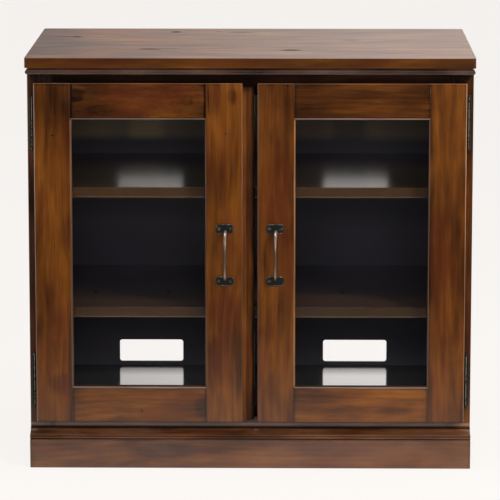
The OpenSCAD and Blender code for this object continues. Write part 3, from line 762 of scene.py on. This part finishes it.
# %% One board of the case
def case_board(node, along, seed, lift, shine, arris=1.1, slot="wood_case", **details):
    """Stains a board of the case and rounds its arrises. arris: the round, in millimetres."""
    low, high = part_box(node)
    # A board's colouring holds its stain, and on many boards painted highlights, sheen and shade as well.
    colouring = chestnut(f"stain_{node}", low, high, along, seed, lift, shine, **details)
    worn_copy(node, arris * MM, slot, colouring)
    print(node, [round(c / MM) for c in high - low], "mm")


# %% The top, and the strip under it
# Painted sheens: the grey and the brown-grey of pale light mirrored in the lacquer.
GREY_SHEEN = linear(112, 98, 92)
BROWN_SHEEN = linear(92, 80, 73)
case_board("top_panel", X, 1.0, 0.14, 0.24, arris=2.2, slot="wood_top", gleam=0.0, streaks=0.15, flat=Y,
           lacquer=True, glazes=((Y, LOW, 1.9, 0.42),), clouds=((-400, 20, 110, 300, -0.30),),
           marks=((-335, 118, 12, 22, 0.9), (-346, 118, 46, 8, 0.75), (-149, 204, 12, 15, 0.9),
                  (-187, -92, 24, 15, 0.65), (-150, -84, 30, 6, 0.5), (74, -107, 20, 12, 0.9),
                  (-20, 196, 36, 10, 0.7), (190, 60, 26, 9, 0.5), (-66, 206, 8, 8, 0.5)))
# The strip under the top carries a painted sheen, brown-grey at the front and grey at the sides.
case_board("top_moulding_front", X, 2.0, -0.33, 0.26, arris=0.6, haze=(BROWN_SHEEN, 0.45))
case_board("top_moulding_left", Y, 3.0, -0.20, 0.30, arris=0.6, haze=(GREY_SHEEN, 0.4))
case_board("top_moulding_right", Y, 4.0, -0.20, 0.30, arris=0.6, haze=(GREY_SHEEN, 0.4))

# %% The sides and the face frame
SIDE_GLAZES = ((Z, HIGH, 40, 0.6), (Y, LOW, 12, 0.4), (Y, HIGH, 12, 0.5))
# Painted shade at the tops of the face stiles, under the overhang of the top.
STILE_TOP_SHADE = ((Z, HIGH, 18, 0.6),)
# A pale painted sheen line across the strip that shows under the doors, 24 mm above the foot of the board.
FOOT_SHEEN_LINE = (Z, LOW, 24, 3.5, 0.80)
case_board("side_panel_left", Z, 5.0, 0.0, 0.26, arris=1.5, glazes=SIDE_GLAZES)
case_board("side_panel_right", Z, 6.0, 0.0, 0.26, arris=1.5, glazes=SIDE_GLAZES)
# Each face stile has a patch of painted shade above its door; the left one also has a painted highlight
# along its outer arris and a little painted sheen.
case_board("face_stile_left", Z, 7.0, -0.26, 0.26, arris=0.3, gleam=0.3, glazes=STILE_TOP_SHADE,
           lines=((X, LOW, 0, 1.6, 0.35), FOOT_SHEEN_LINE), clouds=((-370, 727, 30, 22, -1.2),),
           haze=(GREY_SHEEN, 0.12))
case_board("face_stile_right", Z, 8.0, -0.22, 0.26, arris=0.3, gleam=0.3, glazes=STILE_TOP_SHADE,
           lines=(FOOT_SHEEN_LINE,), clouds=((370, 727, 30, 22, -1.2),))
# Painted shade: the rail over the doors lies in the shade of the top, so it is stained near black, darkest
# towards its lower edge.
case_board("face_rail_top", X, 9.0, -0.60, 0.5, arris=0.3, gleam=0.12, glazes=((Z, LOW, 60, 1.0),))
# Painted shade: the doors' shadow along the top of the bottom rail, and a pale painted sheen line across
# the strip that shows under them.
case_board("face_rail_bottom", X, 10.0, -0.20, 0.34, arris=0.3, glazes=((Z, HIGH, 10, 0.8),),
           lines=((Z, LOW, 24, 3.5, 0.45),))

# %% The base moulding and the plinth
# The plinth's painted sheen: the pale floor mirrored in its lacquer.
PLINTH_SHEEN = linear(104, 90, 88)
# Painted shade along the top of the base moulding, under the doors, and a painted grey sheen.
case_board("base_moulding", X, 11.0, 0.02, 0.28, arris=0.4, gleam=0.3, streaks=0.9,
           glazes=((X, LOW, 60, 0.4), (Z, HIGH, 2.6, 0.9)), haze=(GREY_SHEEN, 0.28))
# The plinth carries a painted sheen in patches.
case_board("plinth_front_board", X, 12.0, 0.03, 0.32, arris=1.6, gleam=0.6, streaks=0.2,
           glazes=((Z, HIGH, 4, 0.5), (X, LOW, 10, 0.3), (X, HIGH, 10, 0.3)),
           clouds=((-330, 24, 50, 14, 0.10), (-150, 30, 60, 22, -0.16), (20, 26, 80, 18, 0.06),
                   (150, 34, 70, 16, -0.16), (290, 24, 70, 20, 0.16)), haze=(PLINTH_SHEEN, 0.28))
case_board("plinth_left_board", Y, 13.0, 0.0, 0.26)
case_board("plinth_right_board", Y, 14.0, 0.0, 0.26)

# %% [markdown]
# ## The doors
#
# A door is two stiles and two rails. Dark glaze has gathered in the joints between them. Pale lines of
# painted highlight run along the outer edges, the meeting edges and the tops of the doors, and the narrow
# splay round the pane is painted pale as its highlight. The splay that faces the lamp on the right is
# painted golden, as lamplight, and the others grey, as shade, so there are two pairs of grounds for it. The
# rails' tenons run on into the stiles, so a rail's finish is fitted between the boxes of its stiles, where
# its shoulders show. Noise alone would put the knots anywhere, so clouds and knots are listed where the
# real boards have theirs.

# %% Stain, knots and clouds of the doors' boards
DOOR_BOARDS = {
    "door_left_hinge_stile": dict(
        seed=15.0, lift=-0.01,
        marks=((-360, 620, 2.2, 2.2, 1.0), (-358, 415, 2.0, 2.0, 0.9)),
        clouds=((-355, 690, 9, 32, -0.16), (-377, 508, 12, 40, -0.14), (-336, 434, 12, 44, -0.16),
                (-351, 590, 18, 70, 0.08), (-370, 332, 10, 50, -0.10), (-350, 158, 20, 22, -0.20),
                (-354, 250, 34, 110, -0.07))),
    "door_left_meeting_stile": dict(
        seed=16.0, lift=0.02,
        marks=((-43, 624, 4, 4, 0.7), (-76, 684, 1.7, 34, 1.0), (-76.6, 118, 1.2, 32, 0.7)),
        clouds=((-34, 692, 11, 17, -0.24), (-62, 610, 14, 60, 0.10), (-66, 190, 12, 70, -0.16),
                (-44, 210, 36, 110, -0.10))),
    "door_left_top_rail": dict(
        seed=17.0, lift=-0.17, lean=-0.14,
        marks=((-107, 683, 4, 11, 0.5),),
        clouds=((-314, 693, 14, 15, -0.30), (-240, 660, 80, 9, -0.14), (-250, 684, 70, 8, 0.06),
                (-130, 668, 40, 10, 0.05))),
    "door_left_bottom_rail": dict(
        seed=18.0, lift=0.03, lean=0.04,
        marks=((-200, 108, 3, 4, 0.7), (-240, 96, 9, 5, 0.4)),
        clouds=((-88, 116, 14, 24, -0.20), (-210, 134, 60, 8, 0.06))),
    "door_right_hinge_stile": dict(
        seed=21.0, lift=-0.06,
        clouds=((352, 650, 12, 60, -0.14), (345, 540, 10, 90, 0.06), (375, 430, 10, 60, -0.08),
                (345, 300, 22, 130, 0.08))),
    "door_right_meeting_stile": dict(
        seed=22.0, lift=-0.07,
        clouds=((68, 600, 9, 110, -0.10), (50, 170, 24, 110, 0.12))),
    "door_right_top_rail": dict(seed=23.0, lift=-0.17, lean=0.03),
    "door_right_bottom_rail": dict(
        seed=24.0, lift=0.04,
        clouds=((206, 126, 48, 8, 0.12), (262, 108, 30, 9, -0.10))),
}
print("boards of the doors", len(DOOR_BOARDS))

# %% Splays, joints and rubbed lines of the doors
SPLAY = 3.0
# Painted highlights on the doors: pale lines along the arrises, some warm and some grey.
WARM_HIGHLIGHT = linear(186, 138, 106)
# The splay's painted highlight: golden where it faces the lamp on the right, grey where it faces away.
LAMPLIT_SPLAY = {"left": (linear(100, 68, 48), linear(78, 54, 36)),
             "right": (linear(150, 102, 57), linear(144, 98, 55))}
SHADED_SPLAY = {"left": (linear(82, 61, 50), linear(76, 56, 44)),
             "right": (linear(83, 64, 55), linear(84, 60, 44))}
# The rails' splays are painted pale as their highlight, the top one, which faces down into shade, much
# paler than the bottom one.
RAIL_SPLAY = {"top_rail": linear(146, 122, 110), "bottom_rail": linear(95, 76, 67)}
JOINT_WOOD = {"left": (linear(34, 17, 8), linear(72, 40, 22)),
              "right": (linear(64, 33, 14), linear(78, 43, 23))}
JOINT_DARK = {"left": {"top_rail": 1.0, "bottom_rail": 0.6},
              "right": {"top_rail": 0.40, "bottom_rail": 0.45}}
# Painted highlight lines along the outer edges, the meeting edges and the tops of the doors.
OUTER_LINE = {"left": (0, 2.2, 0.75), "right": (0, 2.0, 0.9, WARM_HIGHLIGHT)}
INNER_LINE = {"left": (0, 1.5, 0.4, WARM_HIGHLIGHT), "right": (0, 1.5, 0.4, PALE_HIGHLIGHT)}
TOP_LINE = (Z, HIGH, 0, 1.5, 0.4, WARM_HIGHLIGHT)
END_GLAZES = ((Z, HIGH, 6, 0.5), (Z, LOW, 5, 0.4))


# %% One board of a door
def door_board(node, low, high, along, glazes, lines, ground, lower_ground, **edge):
    """Stains a stile or a rail, gives it its sight edge and rounds its arrises."""
    details = DOOR_BOARDS[node]
    # A board's colouring holds its stain, and on many boards painted highlights, sheen and shade as well.
    colouring = chestnut(f"stain_{node}", low, high, along, glazes=glazes, lines=lines, **details)
    splay = sight_edge(f"sight_{node}", along, details["seed"], ground, lower_ground, **edge)
    worn_copy(node, 1.2 * MM, "wood_door", colouring, splay=splay)


def stiles(side, outer, inner):
    """A door's two stiles. The pane is on the inner side of the hinge stile, the outer of the other."""
    # The splays' grounds: painted lamplight on the side that faces the lamp, painted shade on the other.
    golden, grey = LAMPLIT_SPLAY[side], SHADED_SPLAY[side]
    pane = (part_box(f"door_{side}_bottom_rail")[1].z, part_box(f"door_{side}_top_rail")[0].z)
    # Dark bands: glazing at the joints and ends, and beside the splay a band that is partly glazing and
    # partly a painted shadow line next to its highlight.
    hinge_glazes = ((X, inner, 12, 0.5), (X, inner, SPLAY + 2.5, 0.8), (X, outer, 4, 0.35)) + END_GLAZES
    meeting_glazes = ((X, outer, 8, 0.3), (X, outer, SPLAY + 1.2, 0.4), (X, inner, 4, 0.35)) + END_GLAZES
    for part, glazes, line, facing_lamp in (
            ("hinge_stile", hinge_glazes, (X, outer, *OUTER_LINE[side]), side == "left"),
            ("meeting_stile", meeting_glazes, (X, inner, *INNER_LINE[side]), side == "right")):
        node = f"door_{side}_{part}"
        door_board(node, *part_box(node), Z, glazes, (line, TOP_LINE), *(golden if facing_lamp else grey),
                   span=pane, joint=JOINT_WOOD[side])


def rails(side, outer, inner):
    """The two rails of a door, each fitted between its stiles."""
    both = ("hinge_stile", "meeting_stile")
    left_part, right_part = both if side == "left" else reversed(both)
    for part, glass_side in (("top_rail", LOW), ("bottom_rail", HIGH)):
        node = f"door_{side}_{part}"
        low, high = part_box(node)
        low.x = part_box(f"door_{side}_{left_part}")[1].x
        high.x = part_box(f"door_{side}_{right_part}")[0].x
        dark = JOINT_DARK[side][part]
        # Dark bands: glazing at the shoulders, and along the pane a band that is partly glazing and partly
        # a painted shadow line next to the splay's highlight.
        glazes = ((X, outer, 14, 0.5 * dark), (X, inner, 9, 0.4 * dark), (X, outer, 1.8, 0.9 * dark),
                  (X, inner, 1.8, 0.8 * dark), (Z, glass_side, SPLAY + 4, 0.6), (Z, -glass_side, 5, 0.4))
        lines = (TOP_LINE,) if part == "top_rail" else ()
        door_board(node, low, high, X, glazes, lines, RAIL_SPLAY[part], RAIL_SPLAY[part],
                   front=low.y if part == "top_rail" else None)


# %% Both doors, and the astragal
for side, outer, inner in (("left", LOW, HIGH), ("right", HIGH, LOW)):
    stiles(side, outer, inner)
    rails(side, outer, inner)
low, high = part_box("door_left_astragal")
# Painted shade darkens the astragal towards its right edge, where the right door shades it, and it is
# darker towards its top; a painted highlight runs as a lighter stripe near its left edge.
astragal_colouring = chestnut("colouring_door_left_astragal", low, high, Z, 19.0, -0.18, shine=0.34, gleam=0.15,
                          glazes=((X, HIGH, 8, 1.0), (Z, HIGH, 14, 0.7)),
                          clouds=((-10.5, 400, 4.0, 700, 0.30),))
worn_copy("door_left_astragal", 0.9 * MM, "wood_door", astragal_colouring)
print("the astragal is", round((high.x - low.x) / MM, 1), "mm wide")

# %% [markdown]
# ## Shelves, deck, back and glass
#
# Through the panes one sees the deck, two shelves and the back. The deck is polished like a dark mirror,
# and shows the cut-outs whole; the shelves are duller, and show them as soft patches. Both could be one
# material with a map of its gloss, but a coat with a roughness and a strength of its own for each board is
# simpler and holds from every side. The boards that nobody sees are left rough.

# %% Stains of the inside
BLUE_BLACK = linear(56, 53, 62)
SHELF_TOP = linear(24, 24, 27)
SHELF_BROWN = linear(54, 37, 20)
# The olive is a painted light on the back panel's upper part.
OLIVE_LIGHT = linear(150, 130, 98)
LOWER_DOTS = ((-294, -44), (-156, -44), (173, -44))
deck_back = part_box("deck_panel")[1].y
back_low, back_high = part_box("back_panel")
deck_stain = dark_board("deck_stain", X, 32.0, linear(26, 27, 32), linear(36, 36, 42), 0.16, coat=1.0,
                        coat_rough=0.08, coat_ior=2.65, grit=0.05, matt_from=deck_back)
# Painted light on the back panel: an olive-brown glow above 535 mm, lighter in a spot on the left and
# darker in one on the right.
back_colouring = dark_board("back_colouring", X, 33.0, BLUE_BLACK, linear(66, 63, 71), 0.5,
                        light_above=(0.535, OLIVE_LIGHT, ((-0.210, 0.035, 0.42), (0.190, 0.035, -0.30))),
                        bare_from=(back_low.y + back_high.y) / 2)
rough_stain = dark_board("hidden_stain", X, 34.0, linear(58, 36, 22), linear(84, 54, 33), 0.6)
print("the deck's gloss fades out towards", round(deck_back / MM), "mm behind the middle")

# %% Boards of the inside, and the panes
# reach and share set the painted light on each shelf's top: how far behind the edge it reaches, and how
# strong it is.
for node, reach, share, dots in (("shelf_upper", 0.09, 0.40, ()), ("shelf_lower", 0.22, 0.75, LOWER_DOTS)):
    low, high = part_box(node)
    shelf_colouring = dark_board(f"{node}_stain", X, 31.0, SHELF_TOP, linear(34, 32, 33), 0.20, coat=1.0,
                             coat_rough=0.17, coat_ior=1.78, dots=dots,
                             front=(low.y, low.z, reach, share, SHELF_BROWN))
    worn_copy(node, 1.0 * MM, "wood_interior", shelf_colouring)
worn_copy("deck_panel", 0.8 * MM, "wood_interior", deck_stain)
worn_copy("back_panel", 0.4 * MM, "wood_interior", back_colouring)
for node in ("top_frame_rear", "rear_rail", "plinth_rear_board", "plinth_corner_blocks"):
    worn_copy(node, 0.8 * MM, "wood_interior", rough_stain)
for side in ("left", "right"):
    worn_copy(f"door_{side}_glass_beads", 0.6 * MM, "wood_door", rough_stain)
    worn_copy(f"door_{side}_glass", 0.4 * MM, "glass", glass, rounds=2)

# %% [markdown]
# ## Hinges and small hardware
#
# The butt hinges show only their barrels, beside the doors' outer edges. They come from CAD with the right
# shape, so they could stay as they are, but two things would be missing: the dark lines between the
# knuckles and the smooth shine of the pins' ball ends. So the leaves and their knuckles are copied with a
# small round on their sharp edges, and the pins as smooth copies. Both get the blackened iron, and the
# barrels a painted highlight, a thin grey line along them. Screws, shelf pins, magnets, strike plates and
# bumpers are right already, and are only painted.

# %% Hinges, catches, pins and screws
pin_low, pin_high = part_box("hinge_pins_right")
hinge_axis = (pin_low.x + pin_high.x) / 2
# The hinge iron carries a painted highlight, a thin grey line along each barrel.
hinge_iron = blackened_iron("hinge_iron", 0.10, 41.0, gleam=0.12, barrel_highlight=(hinge_axis, 0.55 * MM))
pin_iron = blackened_iron("pin_iron", 0.45, 42.0)
for side in ("left", "right"):
    for leaves in (f"hinge_leaves_case_{side}", f"door_{side}_hinge_leaves"):
        worn_copy(leaves, 0.3 * MM, "antique_iron", hinge_iron, rounds=2, shortest=1 * MM)
    smooth_copy(f"hinge_pins_{side}", "antique_iron", pin_iron)
    paint(f"door_{side}_screws", pin_iron)
    paint(f"door_{side}_strike_plate", zinc)
    paint(f"door_{side}_bumpers", brown_felt)
paint("hinge_screws_case", pin_iron)
for node in ("shelf_pins", "back_screws", "catch_magnets"):
    paint(node, zinc)
worn_copy("catch_bodies", 0.8 * MM, "black_plastic", black_plastic)
print("the hinges' pins stand", round(hinge_axis / MM, 1), "mm from the middle")

# %% [markdown]
# ## The pulls
#
# Each pull is a bowed bar between two cast plates, and the bar swells towards its feet. A ring could be
# extruded step by step, but a curve with a round section keeps such a sweep even by itself, and only at
# the end is it made a mesh. The plates are copies of the CAD plates. Their edges get a wide round with a
# finish of its own, because hands rub the rim of a casting bright and leave its middle black.

# %% Irons of a pull, fitted to its bar
bar_low, bar_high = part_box("handle_right_bar")
# The painted highlight on a bar fades in from 44 mm below its top and is full from 20 mm below it.
HIGHLIGHT_FROM = bar_high.z - 44 * MM
HIGHLIGHT_FULL = bar_high.z - 20 * MM
bar_iron = blackened_iron("bar_iron", 0.95, 43.0, bar_light=(
    (bar_low.x + bar_high.x) / 2, (bar_high.x - bar_low.x) / 2, HIGHLIGHT_FROM, HIGHLIGHT_FULL))
plate_iron = blackened_iron("plate_iron", 0.12, 44.0, shine=0.38)
rim_iron = blackened_iron("rim_iron", 0.58, 45.0, shine=0.26)
screw_iron = blackened_iron("screw_iron", 0.6, 46.0, shine=0.34)
print("the bars are", round((bar_high.z - bar_low.z) / MM, 1), "mm long")

# %% The bar
BAR_POINTS = 33
SLIM_SHARE = 0.55
SWELL = 2.4


def bow(t, half, reach):
    """Height and reach of the bar's centre at t, which runs from -1 to 1."""
    angle = t * math.pi / 2
    rise = math.copysign(abs(math.sin(angle)) ** 0.75, angle) * half
    return rise, reach * max(math.cos(angle), 0.0) ** 0.6


def drawn_bar(low, high):
    """A curve from foot to foot, as thick as the CAD bar at its feet and slimmer between them."""
    foot = (high.x - low.x) / 2
    slim = foot * SLIM_SHARE
    middle = (low + high) / 2
    half = (high.z - low.z) / 2 - foot
    reach = high.y - low.y - slim
    curve = bpy.data.curves.new("drawn_bar", "CURVE")
    curve.dimensions = "3D"
    curve.bevel_depth = 1.0
    curve.bevel_resolution = 6
    curve.use_fill_caps = True
    spline = curve.splines.new("POLY")
    spline.points.add(BAR_POINTS - 1)
    for i, point in enumerate(spline.points):
        t = 2 * i / (BAR_POINTS - 1) - 1
        rise, out = bow(t, half, reach)
        point.co = (middle.x, high.y - out, middle.z + rise, 1)
        point.radius = slim + (foot - slim) * abs(t) ** SWELL
    drawn = bpy.data.objects.new("drawn_bar", curve)
    bpy.context.scene.collection.objects.link(drawn)
    return drawn


def pull_bar(side):
    node = f"handle_{side}_bar"
    drawn = drawn_bar(*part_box(node))
    swept = drawn.evaluated_get(bpy.context.evaluated_depsgraph_get())
    mesh = bmesh.new()
    mesh.from_mesh(bpy.data.meshes.new_from_object(swept))
    bpy.data.objects.remove(drawn)
    bmesh.ops.remove_doubles(mesh, verts=mesh.verts, dist=TOUCHING)
    bmesh.ops.recalc_face_normals(mesh, faces=mesh.faces)
    for face in mesh.faces:
        face.smooth = len(face.verts) == 4
    stand_for(node, f"pull_{side}_bar", mesh, "antique_iron", bar_iron)


# %% The plates, and both pulls
def pull_plates(side):
    node = f"handle_{side}_plates"
    mesh = flat_faced(node)
    rim = round_arrises(mesh, 1.2 * MM, 3, 2 * MM)
    for face in mesh.faces:
        face.material_index = 0
    for face in rim:
        face.material_index = 1
    stand_for(node, f"pull_{side}_plates", mesh, "antique_iron", plate_iron, rim_iron)


for side in ("left", "right"):
    pull_bar(side)
    pull_plates(side)
    paint(f"handle_{side}_screws", screw_iron)

# %% [markdown]
# ## The floor
#
# The photograph is a shop picture on near-white. A white floor lit until it is white would throw too much
# light up at the wood, so the camera sees a glow in the paper's own colour, and the lamps fall on a plain
# pale paper beneath it. A tenth of that paper stays in view, which keeps the cabinet's shadow. In the
# lacquer the floor is bright only near the cabinet and behind it, so the lower rails look greyer than the
# upper ones.

# %% Floor
PAPER = linear(249, 245, 242)
PAPER_BASE = linear(236, 233, 230)
PAPER_GLOW = 1.04
GLOW_SHARE = 0.9
POOL_FORWARD = 0.25


def pale_floor():
    finish = Finish("pale_floor")
    x, y, z = finish.place()
    away = (x * x + (y + POOL_FORWARD) * (y + POOL_FORWARD)).root()
    seen = finish.ray("Is Camera Ray")
    mirrored = finish.ray("Is Glossy Ray")
    through = finish.ray("Is Transmission Ray")
    near = away.ramp_down(0.30, 1.30) * 0.95 + 0.03
    behind = y.ramp_up(0.2, 0.4)
    glow = finish.node("ShaderNodeEmission", {}, {
        "Color": PAPER, "Strength": seen.most(through) * PAPER_GLOW + mirrored * near.most(behind)})
    finish.set(base_color=PAPER_BASE, roughness=0.9)
    share = (seen * GLOW_SHARE).most(through).most(mirrored)
    paper = Value(finish, finish.shader.outputs[0])
    mixed = finish.node("ShaderNodeMixShader", {}, {0: share, 1: paper, 2: glow})
    finish.plug(finish.tree.nodes["Material Output"].inputs["Surface"], mixed)
    return finish.material


floor_mesh = bmesh.new()
bmesh.ops.create_grid(floor_mesh, x_segments=1, y_segments=1, size=30)
floor_shape = bpy.data.meshes.new("floor")
floor_mesh.to_mesh(floor_shape)
floor_mesh.free()
floor_shape.materials.append(pale_floor())
floor = bpy.data.objects.new("floor", floor_shape)
bpy.context.scene.collection.objects.link(floor)
print("the floor is", round(floor.dimensions.x), "m wide")

# %% [markdown]
# ## The room
#
# In the lacquer and the metal the wall behind the cabinet and the walls at its sides are pale, and the
# room in front is dark, which keeps the doors' brown deep. Walls made as meshes would cast shadows and
# throw light of their own, so the room is painted on the world instead, for mirrored rays alone. The
# camera gets the plain paper colour, also through the cut-outs, and everything else an even, soft light
# from all round.

# %% The room, as lit walls
SOFT_LIGHT = 0.20
world = bpy.data.worlds.new("studio")
bpy.context.scene.world = world
world.use_nodes = True
room = Recipe(world.node_tree)
x, y, z = room.place(output=DIRECTION)
seen = room.ray("Is Camera Ray").most(room.ray("Is Transmission Ray"))
mirrored = room.ray("Is Glossy Ray")
to_the_right = x.ramp_up(-0.17, 0.05)
low_wall = 0.20 + x.ramp_up(-0.12, 0.08) * 0.65
high_wall = z.ramp_up(0.165, 0.22) * (0.32 + to_the_right * 0.84) + z.ramp_up(0.190, 0.212) * 0.30
back_wall = y.ramp_up(-0.05, 0.35) * low_wall.most(high_wall)
side_walls = x.ramp_up(0.55, 0.95) * 0.85 + (0 - x).ramp_up(0.55, 0.95) * 0.6
mirror_glow = back_wall.most(side_walls) + 0.02
background = room.tree.nodes["Background"]
room.plug(background.inputs["Color"], PAPER)
room.plug(background.inputs["Strength"],
          seen + mirrored * mirror_glow + (1 - seen - mirrored).most(0.0) * SOFT_LIGHT)
print("nodes in the world", len(room.tree.nodes))

# %% [markdown]
# ## Lamps
#
# The pulls throw their shadows down to the left, so the key lamp stands high on the right. A wide lamp in
# front lights the doors evenly. Neither shows in the gloss, where its square shape would lie on the doors
# as a pale patch. Instead a low, narrow lamp, which lights gloss and nothing else, draws the bright lines
# on the pulls and the arrises. A fill on the left opens the shadows, and an overhead lamp lights the top.


# %% Lamps
def lamp(name, place, aim, size, power, colour=(1, 1, 1), mirrored=True, lights_matt=True):
    """A rectangular lamp, pointed at aim. mirrored: it shows in gloss. lights_matt: it lights the rest."""
    light = bpy.data.lights.new(name, "AREA")
    light.shape = "RECTANGLE"
    light.size, light.size_y = size
    light.energy = power
    light.color = colour
    holder = bpy.data.objects.new(name, light)
    bpy.context.scene.collection.objects.link(holder)
    holder.location = place
    holder.visible_glossy = mirrored
    holder.visible_diffuse = lights_matt
    holder.rotation_euler = (Vector(aim) - Vector(place)).to_track_quat("-Z", "Y").to_euler()


lamp("key", (1.9, -2.6, 2.5), (0.0, -0.2, 0.35), (0.8, 0.7), 84, (1.0, 0.97, 0.92), mirrored=False)
lamp("glint", (1.5, -2.4, 0.66), (0.0, -0.25, 0.42), (0.5, 0.12), 6, (1.0, 0.95, 0.88), lights_matt=False)
lamp("front", (0.2, -5.2, 1.5), (0.0, -0.2, 0.38), (2.0, 1.4), 64, (1.0, 0.99, 0.97), mirrored=False)
lamp("fill", (-2.6, -2.4, 1.3), (0.0, -0.2, 0.35), (1.6, 1.6), 14, (0.95, 0.98, 1.0))
lamp("overhead", (0.2, -0.4, 3.0), (0.0, 0.0, 0.5), (2.4, 2.0), 56)
print("lamps", len(bpy.data.lights))

# %% [markdown]
# ## Camera
#
# The photograph was taken from about six metres with a long lens, a little above and to the right, and its
# uprights were straightened afterwards. A camera shift could do the same, but it would be as large as the
# frame and spoil the views from other sides. So the camera here just looks down on the cabinet from the
# same place. Its place, aim and focal length were fitted to the corners that can be read in the
# photograph.

# %% Camera from the fitted view
EYE = Vector((0.0741, -6.1214, 1.4415))
TURN_RIGHT = -0.0126
TILT_DOWN = 0.1736
FOCAL_PIXELS = 3269.4
PHOTO_PIXELS = 500
camera_data = bpy.data.cameras.new("photo_view")
camera_data.sensor_width = 36
camera_data.lens = FOCAL_PIXELS * camera_data.sensor_width / PHOTO_PIXELS
camera_data.clip_end = 100
camera = bpy.data.objects.new("photo_view", camera_data)
camera.location = EYE
camera.rotation_euler = Euler((math.pi / 2 - TILT_DOWN, 0, -TURN_RIGHT))
bpy.context.scene.collection.objects.link(camera)
bpy.context.scene.camera = camera
bpy.context.scene.view_settings.view_transform = "Standard"
print("the lens is", round(camera_data.lens, 1), "mm long")

# %% [markdown]
# ## The close
#
# Dressing must not change the cabinet's size.

# %% The close
print("the cabinet is dressed")
